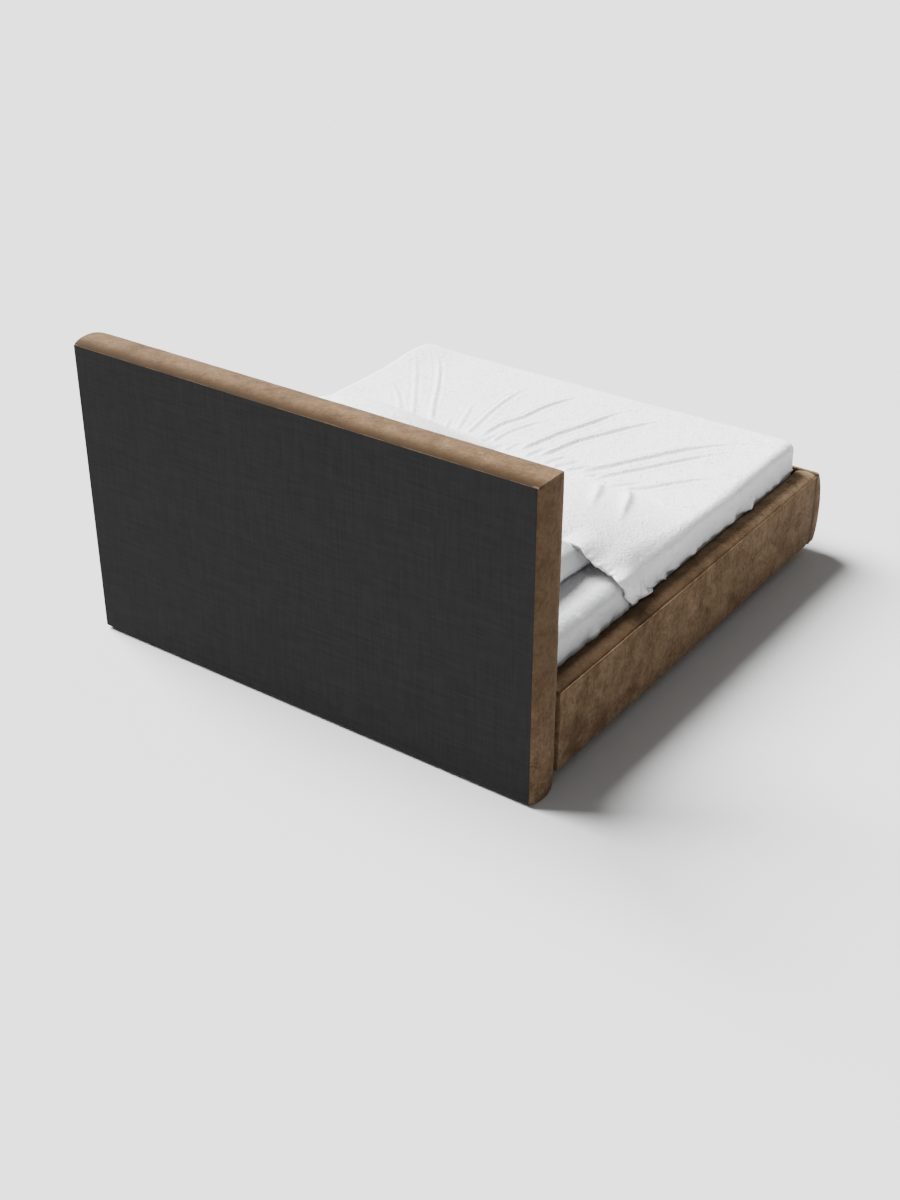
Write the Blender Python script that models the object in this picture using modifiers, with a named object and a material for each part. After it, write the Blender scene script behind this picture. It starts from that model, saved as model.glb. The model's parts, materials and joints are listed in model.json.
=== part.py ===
# Upholstered double bed: padded headboard, rails and footboard on boards, slatted base, bedding.
# Metres, +Z up. The head is at +Y, the foot at -Y, and the floor is z = 0.
import math

import bmesh
import bpy
from mathutils import Vector

# Clearances
seat_gap = 0.0003            # between pieces that touch
cut_overrun = 0.020          # how far a cut runs past what it cuts
mattress_room = 0.004        # free room round the mattress

# Mattress and fitted sheet
mattress_width = 1.800
mattress_length = 2.000
mattress_height = 0.222
mattress_base_height = 0.276     # underside above the floor
mattress_edge_radius = 0.042
mattress_corner_radius = 0.055
mattress_crown = 0.003
mattress_segments = 4            # round each of its edges and corners
sheet_room = 0.0006              # free room between mattress and sheet
sheet_thickness = 0.0010
sheet_hem_drop = 0.118           # from the mattress top down to the elastic hem
sheet_hem_wave = 0.005
sheet_hem_wave_count = 24

# Cloths and foams of the frame
velvet_thickness = 0.0015
lining_thickness = 0.0012

# Headboard
headboard_height = 1.187
headboard_depth = 0.172
headboard_bulge = 0.0095
headboard_front_foam = 0.048
headboard_edge_foam = 0.014
headboard_lip = 0.022            # velvet turned in behind the frame
lining_inset = 0.004
panel_thickness = 0.010
batten_width = 0.070
glide_radius = 0.016
glide_height = 0.0027
glide_inset = 0.180
headboard_profile_shares = (     # along the depth, and out by the bulge
    (0.0, -0.45), (0.07, 0.15), (0.18, 0.60), (0.32, 0.92), (0.48, 1.0), (0.62, 0.85),
    (0.74, 0.50), (0.83, 0.0), (0.91, -0.70), (0.965, -1.75), (0.99, -3.4),
)
headboard_crown_share = 2.6      # extra inset of the front's flat, in front insets

# Side rails
rail_width = 0.096
rail_height = 0.316
rail_floor_gap = 0.050
rail_crown = 0.012
rail_side_foam = 0.014
rail_top_foam = 0.024
board_thickness = 0.016
welt_radius = 0.0022
rail_side_shares = ((0.03, 0.0), (0.004, 0.10), (-0.02, 0.36), (-0.022, 0.66), (0.0, 1.0))
rail_top_shares = (              # across the width, and up by the crown
    (0.10, 0.50), (0.27, 0.90), (0.50, 1.0), (0.74, 0.82), (0.91, 0.42), (0.985, -0.05), (1.0, -0.65),
)

# Footboard
footboard_depth = 0.081
footboard_height = 0.331
footboard_board_thickness = 0.025
footboard_end_radius = 0.014
footboard_end_segments = 4
footboard_board_share = 0.9      # of the footboard's height
footboard_profile_shares = (     # out by the depth, and up by the height
    (0.0, 0.0), (0.0, 0.965), (0.05, 0.995), (0.24, 0.992), (0.44, 0.945), (0.64, 0.86),
    (0.81, 0.745), (0.94, 0.615), (1.0, 0.48), (0.99, 0.34), (0.93, 0.205), (0.80, 0.095), (0.56, 0.0),
)
foot_size = 0.055
foot_inset = 0.200
foot_bevel = 0.004
foot_taper_share = 0.86

# Slatted base
slat_count = 12
slat_width = 0.090
slat_thickness = 0.018
slat_edge_radius = 0.004
slat_end_room = 0.003
ledger_width = 0.030
ledger_height = 0.040
beam_width = 0.050
beam_height = 0.060
beam_end_room = 0.004
hanger_plate = 0.0025
hanger_depth = 0.040
hanger_lug_width = 0.030
hanger_clearance = 0.0005
leg_radius = 0.015
leg_place_share = 0.22           # of the rail's length, to each side of the middle
leg_foot_radius = 0.024
leg_foot_height = 0.012
leg_socket_depth = 0.006
bracket_flange = 0.058
bracket_plate = 0.003
bracket_height = 0.130
bracket_ledger_gap = 0.0154      # between its top and the slat ledger's underside
bolt_radius = 0.0075
bolt_head_height = 0.0045
bolt_height_share = 0.27

# Pillows
pillow_length = 0.700
pillow_thickness = 0.150
pillow_near_room = 0.120         # from the mattress's side to the near pillow
pillow_far_room = 0.040
pillow_middle_room = 0.240       # between the two pillows
pillow_head_room = 0.085
pillow_far_slip = 0.190          # the far pillow lies further down the bed
pillow_draw_share = 0.045        # how far a side draws in between the corners
pillow_seam_share = 0.06
pillow_under_share = 0.5         # how deep its underside swells, of its rise
pillow_flat_share = 2.6          # power that flattens its middle
pillow_edge_share = 0.55         # power that steepens its edges

# Duvet
duvet_room = 0.0009              # free room between sheet and duvet
duvet_thickness = 0.010
duvet_hem_thickness = 0.0045
duvet_overhang = 0.104           # reach over the far rail
duvet_far_share = 0.55           # of the bed's half width, from where it is drawn to the far side
duvet_head_distance = 0.690      # its head edge, from the headboard's back
duvet_crease_distance = 1.350    # where it comes down from the pillows
duvet_near_rise = 0.540          # length of the slope up to the near pillow
duvet_far_rise = 0.250           # the same at the far pillow
duvet_lift = 0.012               # free height over the pillows
duvet_spread_share = 1.12        # how much wider than a pillow the duvet stands up
fold_height = 0.010
fold_width = 0.030
fold_fan_shares = (              # along the crease, then at the foot end, of the bed's half width
    (0.78, 0.97), (0.50, 0.72), (0.22, 0.34), (-0.06, -0.10), (-0.38, -0.52), (-0.58, -0.84),
)
fold_end_share = 0.62            # how far down the bed a fold runs before it fades
fold_fade_share = 0.6            # power that rounds its ends

# Worked out from the sizes above
room_width = mattress_width + 2 * mattress_room
room_length = mattress_length + 2 * mattress_room
frame_width = room_width + 2 * rail_width
overall_length = headboard_depth + room_length + footboard_depth
back_y = overall_length / 2
head_front_y = back_y - headboard_depth
foot_inner_y = head_front_y - room_length
room_middle_y = (head_front_y + foot_inner_y) / 2
headboard_bottom = glide_height + seat_gap + headboard_bulge
rail_top = rail_floor_gap + rail_height
mattress_top = mattress_base_height + mattress_height
sheet_top = mattress_top + mattress_crown + sheet_room + sheet_thickness
slat_top = mattress_base_height - seat_gap
slat_bottom = slat_top - slat_thickness
support_top = slat_bottom - seat_gap
bracket_bottom = support_top - ledger_height - bracket_ledger_gap - bracket_height
pillow_width = (mattress_width - pillow_near_room - pillow_far_room - pillow_middle_room) / 2

for old in list(bpy.data.objects):
    bpy.data.objects.remove(old, do_unlink=True)


def new_collection(name):
    collection = bpy.data.collections.new(name)
    bpy.context.scene.collection.children.link(collection)
    return collection


bed = new_collection("upholstered_bed")
cutters = new_collection("cutters")


def new_material(name, colour, roughness, metallic=0.0):
    material = bpy.data.materials.new(name)
    material.use_nodes = True
    shader = material.node_tree.nodes["Principled BSDF"]
    shader.inputs["Base Color"].default_value = (*colour, 1.0)
    shader.inputs["Roughness"].default_value = roughness
    shader.inputs["Metallic"].default_value = metallic
    return material


velvet = new_material("brown_velvet", (0.17, 0.105, 0.065), 0.85)
lining = new_material("charcoal_lining", (0.024, 0.024, 0.025), 0.9)
foam = new_material("upholstery_foam", (0.78, 0.72, 0.52), 0.95)
chipboard = new_material("chipboard", (0.50, 0.37, 0.22), 0.75)
pine = new_material("pine", (0.66, 0.46, 0.26), 0.6)
steel = new_material("black_steel", (0.03, 0.03, 0.033), 0.45, 0.6)
plastic = new_material("black_plastic", (0.02, 0.02, 0.02), 0.5)
ticking = new_material("mattress_ticking", (0.74, 0.73, 0.70), 0.9)
cotton = new_material("white_cotton", (0.80, 0.80, 0.80), 0.85)


def add_object(name, bm, material, collection=None):
    """Turn a bmesh into an object of the bed, with its normals pointing out."""
    bmesh.ops.recalc_face_normals(bm, faces=bm.faces[:])
    mesh = bpy.data.meshes.new(name)
    bm.to_mesh(mesh)
    bm.free()
    item = bpy.data.objects.new(name, mesh)
    (collection or bed).objects.link(item)
    if material:
        mesh.materials.append(material)
    return item


def add_bevel(item, width, segments=2, angle=math.radians(40)):
    bevel = item.modifiers.new("Bevel", "BEVEL")
    bevel.width = width
    bevel.segments = segments
    bevel.limit_method = "ANGLE"
    bevel.angle_limit = angle
    return item


def smooth(item, angle=math.radians(40)):
    item.data.shade_smooth()
    item.data.set_sharp_from_angle(angle=angle)
    return item


def cut(item, cutter, operation="DIFFERENCE"):
    """Cut one object by another, or join the other to it."""
    modifier = item.modifiers.new("Cut", "BOOLEAN")
    modifier.operation = operation
    modifier.solver = "EXACT"
    modifier.object = cutter
    cutter.hide_render = True
    cutter.display_type = "WIRE"
    return item


def box(name, low, high, material, collection=None):
    """A box between two corners, placed by its location."""
    low, high = Vector(low), Vector(high)
    bm = bmesh.new()
    bmesh.ops.create_cube(bm, size=1.0)
    bmesh.ops.scale(bm, vec=high - low, verts=bm.verts[:])
    item = add_object(name, bm, material, collection)
    item.location = (low + high) / 2
    return item


def disc(name, centre, radius, bottom, top, material, segments=24, collection=None):
    """An upright cylinder on a centre."""
    bm = bmesh.new()
    bmesh.ops.create_cone(bm, cap_ends=True, segments=segments, radius1=radius, radius2=radius,
                          depth=top - bottom)
    item = add_object(name, bm, material, collection)
    item.location = (centre[0], centre[1], (bottom + top) / 2)
    return item


def offset_path(points, distance):
    """Move an open path to its right-hand side by a distance, with mitred corners."""
    vectors = [Vector(p) for p in points]
    moved = []
    last = len(vectors) - 1
    for i, point in enumerate(vectors):
        before = (point - vectors[i - 1]).normalized() if i else None
        after = (vectors[i + 1] - point).normalized() if i < last else None
        before = before or after
        after = after or before
        normal_before = Vector((before.y, -before.x))
        normal_after = Vector((after.y, -after.x))
        middle = (normal_before + normal_after).normalized()
        moved.append(point + middle * (distance / middle.dot(normal_after)))
    return moved


def fill_ring(bm, ring):
    edges = [bm.edges.get((ring[i], ring[i - 1])) for i in range(len(ring))]
    bmesh.ops.edgeloop_fill(bm, edges=edges)


def loft(name, rings, material, collection=None):
    """A closed solid through rings of equally many points."""
    bm = bmesh.new()
    loops = [[bm.verts.new(point) for point in ring] for ring in rings]
    for loop in loops:
        for i in range(len(loop)):
            bm.edges.new((loop[i - 1], loop[i]))
    for first, second in zip(loops, loops[1:]):
        edges = [bm.edges.get((loop[i - 1], loop[i])) for loop in (first, second)
                 for i in range(len(loop))]
        bmesh.ops.bridge_loops(bm, edges=edges)
    fill_ring(bm, loops[0])
    fill_ring(bm, loops[-1])
    return add_object(name, bm, material, collection)


# Headboard


def headboard_rings(inset):
    """Rectangles from the back to the front, each mitred at its corners."""
    back = lining_thickness + seat_gap
    depth = headboard_depth - back
    path = [(share * depth, out * headboard_bulge) for share, out in headboard_profile_shares]
    front_inset = headboard_profile_shares[-1][1] * headboard_bulge * headboard_crown_share
    path.append((depth, front_inset))
    path = offset_path(path, inset) if inset else [Vector(p) for p in path]
    path[0].x = inset
    path[-1].x = depth - inset
    rings = []
    for along, out in path:
        half = frame_width / 2 + out
        low = headboard_bottom - out
        high = headboard_bottom + headboard_height + out
        y = back_y - back - along
        rings.append([(-half, y, low), (half, y, low), (half, y, high), (-half, y, high)])
    return rings


def make_headboard():
    cover = loft("headboard_cover", headboard_rings(0.0), velvet)
    hollow = loft("headboard_hollow", headboard_rings(velvet_thickness), None, cutters)
    cut(cover, hollow)
    half = frame_width / 2
    top = headboard_bottom + headboard_height
    back = back_y - lining_thickness - seat_gap
    cut(cover, box("headboard_back_opening",
                   (-half + headboard_lip, back - velvet_thickness - cut_overrun,
                    headboard_bottom + headboard_lip),
                   (half - headboard_lip, back + cut_overrun, top - headboard_lip), None, cutters))

    # The frame's box of space inside the foam
    edge = headboard_edge_foam
    frame_back = back - velvet_thickness - seat_gap
    panel_front = head_front_y + velvet_thickness + headboard_front_foam
    panel_back = panel_front + panel_thickness
    pad = loft("headboard_foam", headboard_rings(velvet_thickness + seat_gap), foam)
    cut(pad, box("headboard_frame_space",
                 (-half + edge, panel_front - seat_gap, headboard_bottom + edge),
                 (half - edge, back + cut_overrun, top - edge), None, cutters))

    side = half - edge - seat_gap
    low = headboard_bottom + edge + seat_gap
    high = top - edge - seat_gap
    add_bevel(box("headboard_panel", (-side, panel_front, low), (side, panel_back, high), chipboard),
              seat_gap)
    batten_front = panel_back + seat_gap
    for label, sign in (("near", -1), ("far", 1)):
        xs = sorted((sign * side, sign * (side - batten_width)))
        box("headboard_stile_" + label, (xs[0], batten_front, low), (xs[1], frame_back, high), pine)
    inner = side - batten_width - seat_gap
    box("headboard_rail_bottom", (-inner, batten_front, low),
        (inner, frame_back, low + batten_width), pine)
    box("headboard_rail_top", (-inner, batten_front, high - batten_width),
        (inner, frame_back, high), pine)
    box("headboard_stile_middle", (-batten_width / 2, batten_front, low + batten_width + seat_gap),
        (batten_width / 2, frame_back, high - batten_width - seat_gap), pine)
    box("headboard_lining", (-half + lining_inset, back_y - lining_thickness,
                             headboard_bottom + lining_inset),
        (half - lining_inset, back_y, top - lining_inset), lining)
    widest = max(range(len(headboard_profile_shares)), key=lambda i: headboard_profile_shares[i][1])
    glide_y = back - headboard_profile_shares[widest][0] * (headboard_depth - (back_y - back))
    for label, sign in (("near", -1), ("far", 1)):
        smooth(disc("headboard_glide_" + label, (sign * (half - glide_inset), glide_y), glide_radius,
                    0.0, glide_height, plastic))


# Side rails


def rail_outline():
    """The rail's section from the bottom outside, over the top, to the bottom inside."""
    points = [(share * rail_width, up * rail_height) for share, up in rail_side_shares]
    points += [(share * rail_width, rail_height + up * rail_crown) for share, up in rail_top_shares]
    points.append((rail_width, 0.0))
    return points


def rail_solid(name, section, sign, start, end, material, collection=None):
    """Run a closed section of the rail along Y."""
    half = frame_width / 2
    rings = [[(sign * (half - inward), y, rail_floor_gap + up) for inward, up in section]
             for y in (start, end)]
    return loft(name, rings, material, collection)


def make_rail(label, sign):
    start = head_front_y - seat_gap
    end = foot_inner_y + seat_gap
    outer = rail_outline()
    inner = offset_path(outer, velvet_thickness)
    inner[0].y = inner[-1].y = -cut_overrun
    cover = rail_solid("rail_cover_" + label, outer, sign, start, end, velvet)
    cut(cover, rail_solid("rail_hollow_" + label, inner, sign, start - velvet_thickness,
                          end + velvet_thickness, None, cutters))
    smooth(cover)

    # All that is inside ends short of the velvet that closes the rail's ends
    skin = velvet_thickness + seat_gap
    inner_start = start - skin
    inner_end = end + skin
    pad_path = offset_path(outer, skin)
    pad_path[0].y = pad_path[-1].y = 0.0
    pad = rail_solid("rail_foam_" + label, pad_path, sign, inner_start, inner_end, foam)
    half = frame_width / 2
    space_top = rail_top + rail_crown - skin - rail_top_foam
    space_outer = rail_side_foam + skin
    xs = sorted((sign * (half - space_outer), sign * (half - rail_width - cut_overrun)))
    cut(pad, box("rail_space_" + label,
                 (xs[0], inner_end - cut_overrun, rail_floor_gap - cut_overrun),
                 (xs[1], inner_start + cut_overrun, space_top), None, cutters))

    # Three boards carry the foam: one outside, one inside and a cap over both
    board_out = half - space_outer - seat_gap
    board_in = half - rail_width + skin
    cap_top = space_top - seat_gap
    cap_bottom = cap_top - board_thickness
    low = rail_floor_gap
    for name, x0, x1, z0, z1 in (
            ("rail_outer_board_", board_out - board_thickness, board_out, low, cap_bottom - seat_gap),
            ("rail_inner_board_", board_in, board_in + board_thickness, low, cap_bottom - seat_gap),
            ("rail_cap_board_", board_in, board_out, cap_bottom, cap_top)):
        xs = sorted((sign * x0, sign * x1))
        add_bevel(box(name + label, (xs[0], inner_end, z0), (xs[1], inner_start, z1), chipboard),
                  seat_gap)

    # The welt lies on the seam along the top outer edge
    reach = (welt_radius + seat_gap) * math.sqrt(0.5)
    curve = bpy.data.curves.new("rail_welt_" + label, "CURVE")
    curve.dimensions = "3D"
    curve.bevel_depth = welt_radius
    curve.bevel_resolution = 1
    curve.use_fill_caps = True
    spline = curve.splines.new("POLY")
    spline.points.add(1)
    for point, y in zip(spline.points, (start, end)):
        point.co = (sign * (half + reach), y, rail_top + reach, 1.0)
    welt = bpy.data.objects.new("rail_welt_" + label, curve)
    curve.materials.append(velvet)
    bed.objects.link(welt)


# Footboard


def footboard_rings(inset, bottom_drop=0.0):
    """The bulged section run across the bed, drawn in where its ends round over."""
    path = [(out * footboard_depth, up * footboard_height) for out, up in footboard_profile_shares]
    half = frame_width / 2 - inset
    rings = []
    turns = [math.radians(90) * i / footboard_end_segments for i in range(footboard_end_segments + 1)]
    ends = [(footboard_end_radius * (1 - math.cos(turn)), footboard_end_radius * (1 - math.sin(turn)))
            for turn in turns]
    places = [(-half + along, drawn) for along, drawn in ends]
    places += [(half - along, drawn) for along, drawn in reversed(ends)]
    for x, drawn in places:
        # Only the outer, bulged side draws in at the ends; the inner face stays flat.
        moved = offset_path(path, inset) if inset else [Vector(p) for p in path]
        ring = []
        for i, (out, up) in enumerate(moved):
            share = footboard_profile_shares[i][0]
            out = out - drawn * share
            up = up - drawn * share * (up / footboard_height)
            if i in (0, len(moved) - 1):
                up = -bottom_drop
            ring.append((x, foot_inner_y - out, rail_floor_gap + up))
        rings.append(ring)
    return rings


def make_footboard():
    cover = loft("footboard_cover", footboard_rings(0.0), velvet)
    cut(cover, loft("footboard_hollow", footboard_rings(velvet_thickness, cut_overrun), None, cutters))
    skin = velvet_thickness + seat_gap
    pad = loft("footboard_foam", footboard_rings(skin), foam)
    half = frame_width / 2 - skin
    board_top = rail_floor_gap + footboard_height * footboard_board_share
    board_inner = foot_inner_y - skin
    board_outer = board_inner - footboard_board_thickness
    cut(pad, box("footboard_board_space",
                 (-half - cut_overrun, board_outer - seat_gap, rail_floor_gap - cut_overrun),
                 (half + cut_overrun, board_inner + cut_overrun, board_top + seat_gap), None, cutters))
    add_bevel(box("footboard_board", (-half, board_outer, rail_floor_gap),
                  (half, board_inner, board_top), chipboard), seat_gap)
    for label, sign in (("near", -1), ("far", 1)):
        x = sign * (frame_width / 2 - foot_inset)
        y = (board_inner + board_outer) / 2
        top = rail_floor_gap - seat_gap
        rings = []
        for z, share in ((0.0, foot_taper_share), (top, 1.0)):
            s = foot_size / 2 * share
            rings.append([(x - s, y - s, z), (x + s, y - s, z), (x + s, y + s, z), (x - s, y + s, z)])
        add_bevel(loft("footboard_foot_" + label, rings, plastic), foot_bevel)


# Slatted base


def make_base():
    for label, sign in (("near", -1), ("far", 1)):
        outer = room_width / 2 - seat_gap
        xs = sorted((sign * outer, sign * (outer - ledger_width)))
        add_bevel(box("slat_ledger_" + label,
                      (xs[0], foot_inner_y + seat_gap, support_top - ledger_height),
                      (xs[1], head_front_y - seat_gap, support_top), pine), slat_edge_radius / 2)

    beam_bottom = support_top - beam_height
    beam_start = head_front_y - seat_gap - hanger_plate - beam_end_room
    beam_end = foot_inner_y + seat_gap + hanger_plate + beam_end_room
    add_bevel(box("centre_beam", (-beam_width / 2, beam_end, beam_bottom),
                  (beam_width / 2, beam_start, support_top), pine), slat_edge_radius / 2)

    # Each hanger is a stirrup that the beam drops into, with a lug at each side for its screws
    for label, face, sign in (("head", head_front_y - seat_gap, -1), ("foot", foot_inner_y + seat_gap, 1)):
        side = beam_width / 2 + hanger_clearance
        low = beam_bottom - seat_gap - hanger_plate
        ys = sorted((face, face + sign * hanger_depth))
        hanger = box("beam_hanger_" + label, (-side - hanger_plate, ys[0], low),
                     (side + hanger_plate, ys[1], support_top), steel)
        plate = sorted((face, face + sign * hanger_plate))
        lugs = box("hanger_lugs_" + label, (-side - hanger_lug_width, plate[0], low),
                   (side + hanger_lug_width, plate[1], support_top), None, cutters)
        cut(hanger, lugs, "UNION")
        mouth = sorted((face + sign * hanger_plate, face + sign * (hanger_depth + cut_overrun)))
        cut(hanger, box("hanger_mouth_" + label, (-side, mouth[0], low + hanger_plate),
                        (side, mouth[1], support_top + cut_overrun), None, cutters))

    for label, sign in (("head_end", 1), ("foot_end", -1)):
        y = room_middle_y + sign * leg_place_share * room_length
        leg_bottom = leg_foot_height - leg_socket_depth + seat_gap
        smooth(disc("centre_leg_" + label, (0.0, y), leg_radius, leg_bottom, beam_bottom - seat_gap,
                    steel))
        foot = smooth(disc("centre_leg_pad_" + label, (0.0, y), leg_foot_radius, 0.0,
                           leg_foot_height, plastic, 32))
        cut(foot, disc("leg_socket_" + label, (0.0, y), leg_radius + seat_gap,
                       leg_foot_height - leg_socket_depth, leg_foot_height + cut_overrun, None, 24,
                       cutters))

    pitch = room_length / slat_count
    half = room_width / 2 - slat_end_room
    for i in range(slat_count):
        y = foot_inner_y + pitch * (i + 0.5)
        add_bevel(box("slat_%02d" % (i + 1), (-half, y - slat_width / 2, slat_bottom),
                      (half, y + slat_width / 2, slat_top), pine), slat_edge_radius)


def make_bracket(name, x_sign, y_sign, corner_y):
    """A steel angle in an inner corner of the frame, with two bolts through each flange."""
    corner_x = x_sign * (room_width / 2 - seat_gap)
    y = corner_y + y_sign * seat_gap
    low = bracket_bottom
    xs = sorted((corner_x, corner_x - x_sign * bracket_flange))
    ys = sorted((y, y + y_sign * bracket_flange))
    angle = box(name, (xs[0], ys[0], low), (xs[1], ys[1], low + bracket_height), steel)
    xs = sorted((corner_x - x_sign * bracket_plate,
                 corner_x - x_sign * (bracket_flange + cut_overrun)))
    ys = sorted((y + y_sign * bracket_plate, y + y_sign * (bracket_flange + cut_overrun)))
    cut(angle, box(name + "_inside", (xs[0], ys[0], low - cut_overrun),
                   (xs[1], ys[1], low + bracket_height + cut_overrun), None, cutters))
    reach = (bracket_plate + bracket_flange) / 2
    head = bracket_plate + bolt_head_height
    for i, share in enumerate((bolt_height_share, 1 - bolt_height_share)):
        z = low + share * bracket_height
        for axis in ("X", "Y"):
            bm = bmesh.new()
            bmesh.ops.create_cone(bm, cap_ends=True, segments=6, radius1=bolt_radius,
                                  radius2=bolt_radius, depth=head - bracket_plate / 2)
            bolt = add_object("%s_bolt_%s%d" % (name, axis, i), bm, None, cutters)
            middle = (head + bracket_plate / 2) / 2
            if axis == "X":
                bolt.rotation_euler = (0.0, math.radians(90), 0.0)
                bolt.location = (corner_x - x_sign * middle, y + y_sign * reach, z)
            else:
                bolt.rotation_euler = (math.radians(90), 0.0, 0.0)
                bolt.location = (corner_x - x_sign * reach, y + y_sign * middle, z)
            cut(angle, bolt, "UNION")


# Bedding


def cut_lines(bm, axis, places):
    """Cut a mesh along planes across one axis, which leaves edges there."""
    normal = Vector((0.0, 0.0, 0.0))
    normal[axis] = 1.0
    for place in places:
        bmesh.ops.bisect_plane(bm, geom=bm.verts[:] + bm.edges[:] + bm.faces[:],
                               plane_co=normal * place, plane_no=normal, dist=seat_gap)


def spread(low, high, count):
    """Evenly spaced places strictly between two ends."""
    return [low + (high - low) * (i + 1) / (count + 1) for i in range(count)]


def rounded_block(columns, rows):
    """The mattress: rounded corners and edges, with a grid of edges over it."""
    bm = bmesh.new()
    bmesh.ops.create_cube(bm, size=1.0)
    size = Vector((mattress_width, mattress_length, mattress_height))
    bmesh.ops.scale(bm, vec=size, verts=bm.verts[:])
    upright = [e for e in bm.edges if abs(e.verts[0].co.z - e.verts[1].co.z) > seat_gap]
    bmesh.ops.bevel(bm, geom=upright, offset=mattress_corner_radius,
                    segments=mattress_segments, profile=0.5, affect="EDGES", material=-1)
    level = [e for e in bm.edges if abs(e.verts[0].co.z - e.verts[1].co.z) < seat_gap]
    bmesh.ops.bevel(bm, geom=level, offset=mattress_edge_radius,
                    segments=mattress_segments, profile=0.5, affect="EDGES", material=-1)
    reach_x = mattress_width / 2 - mattress_corner_radius
    reach_y = mattress_length / 2 - mattress_corner_radius
    cut_lines(bm, 0, spread(-reach_x, reach_x, columns))
    cut_lines(bm, 1, spread(-reach_y, reach_y, rows))
    centre = Vector((0.0, room_middle_y, mattress_base_height + mattress_height / 2))
    bmesh.ops.translate(bm, vec=centre, verts=bm.verts[:])
    for v in bm.verts:
        if v.co.z > mattress_top - seat_gap:
            across = 2 * v.co.x / mattress_width
            along = 2 * (v.co.y - room_middle_y) / mattress_length
            v.co.z += mattress_crown * (1 - across ** 2) * (1 - along ** 2)
    return bm


def push_out(bm, distance):
    """Move every point out along its normal."""
    bm.normal_update()
    moves = [(v, v.normal.copy()) for v in bm.verts]
    for v, normal in moves:
        v.co += normal * distance


def thicken(bm, move):
    """Give an open sheet an outer side, each point moved by a rule, and close its rim."""
    geometry = bm.verts[:] + bm.edges[:] + bm.faces[:]
    bm.normal_update()
    made = bmesh.ops.extrude_face_region(bm, geom=geometry, use_keep_orig=True)
    moved = [item for item in made["geom"] if isinstance(item, bmesh.types.BMVert)]
    for v in moved:
        v.co = move(v.co.copy())


def make_mattress():
    smooth(add_object("mattress", rounded_block(8, 8), ticking))


def make_sheet():
    """The fitted sheet hugs the mattress and ends in an elastic hem above the rails."""
    bm = rounded_block(8, 8)
    hem = mattress_top - sheet_hem_drop
    bmesh.ops.bisect_plane(bm, geom=bm.verts[:] + bm.edges[:] + bm.faces[:], clear_inner=True,
                           plane_co=(0.0, 0.0, hem), plane_no=(0.0, 0.0, 1.0), dist=seat_gap)
    push_out(bm, sheet_room)
    normals = {}
    bm.normal_update()
    for v in bm.verts:
        normals[tuple(round(c, 5) for c in v.co)] = v.normal.copy()

    def move(co):
        normal = normals[tuple(round(c, 5) for c in co)]
        return co + normal * sheet_thickness

    thicken(bm, move)
    for v in bm.verts:
        if v.co.z < hem + sheet_hem_wave:
            around = math.atan2(v.co.y - room_middle_y, v.co.x)
            v.co.z += sheet_hem_wave * (1 + math.sin(around * sheet_hem_wave_count)) / 2
    smooth(add_object("fitted_sheet", bm, cotton))


def pillow_height(across, along):
    """Thickness of a pillow at a place, as a share of its thickness in the middle."""
    a = max(0.0, 1 - abs(across) ** pillow_flat_share)
    b = max(0.0, 1 - abs(along) ** pillow_flat_share)
    return (a * b) ** pillow_edge_share


def pillow_place(x_sign):
    room = pillow_near_room if x_sign < 0 else pillow_far_room
    x = x_sign * (mattress_width / 2 - room - pillow_width / 2)
    y = head_front_y - pillow_head_room - pillow_length / 2
    if x_sign > 0:
        y -= pillow_far_slip
    return x, y


def make_pillow(label, x_sign):
    """A crowned pillow: thick in the middle, thin at its seam, sides drawn in between corners."""
    cells = 12
    bm = bmesh.new()
    bmesh.ops.create_grid(bm, x_segments=cells, y_segments=cells, size=1.0)
    x, y = pillow_place(x_sign)
    base = sheet_top + seat_gap
    seam = pillow_seam_share * pillow_thickness

    def shape(co, top):
        across, along = co.x, co.y
        draw_x = 1 - pillow_draw_share * (1 - along ** 2) * abs(across)
        draw_y = 1 - pillow_draw_share * (1 - across ** 2) * abs(along)
        rise = pillow_height(across, along) * pillow_thickness
        level = base + seam + pillow_edge_lift(across, along)
        z = level + max(rise, seam) if top else max(base, level - rise * pillow_under_share)
        return Vector((x + across * draw_x * pillow_width / 2, y + along * draw_y * pillow_length / 2, z))

    bottom = [(v, shape(v.co, False)) for v in bm.verts]
    tops = {v.index: shape(v.co, True) for v in bm.verts}
    places = {(round(v.co.x, 5), round(v.co.y, 5)): tops[v.index] for v in bm.verts}
    thicken(bm, lambda co: places[(round(co.x, 5), round(co.y, 5))])
    for v, co in bottom:
        v.co = co
    smooth(add_object("pillow_" + label, bm, cotton), math.radians(60))


def pillow_edge_lift(across, along):
    """The seam lifts off the sheet a little where the pillow swells."""
    return pillow_seam_share * pillow_thickness * max(abs(across), abs(along)) ** 4


def blend(value, low, high):
    """0 below low, 1 above high, smooth between."""
    t = min(1.0, max(0.0, (value - low) / (high - low)))
    return t * t * (3 - 2 * t)


def duvet_mound(x, y):
    """How far the duvet stands above the sheet where it goes over the pillows."""
    crease = back_y - duvet_crease_distance
    height = 0.0
    for sign, slope in ((-1, duvet_near_rise), (1, duvet_far_rise)):
        middle = pillow_place(sign)[0]
        across = (x - middle) / (pillow_width / 2 * duvet_spread_share)
        rise = min(1.0, max(0.0, (y - crease) / slope))
        height = max(height, pillow_height(across, 0.0) * math.sin(rise * math.pi / 2))
    return height * (pillow_thickness * (1 + 2 * pillow_seam_share) + duvet_lift)


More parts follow.
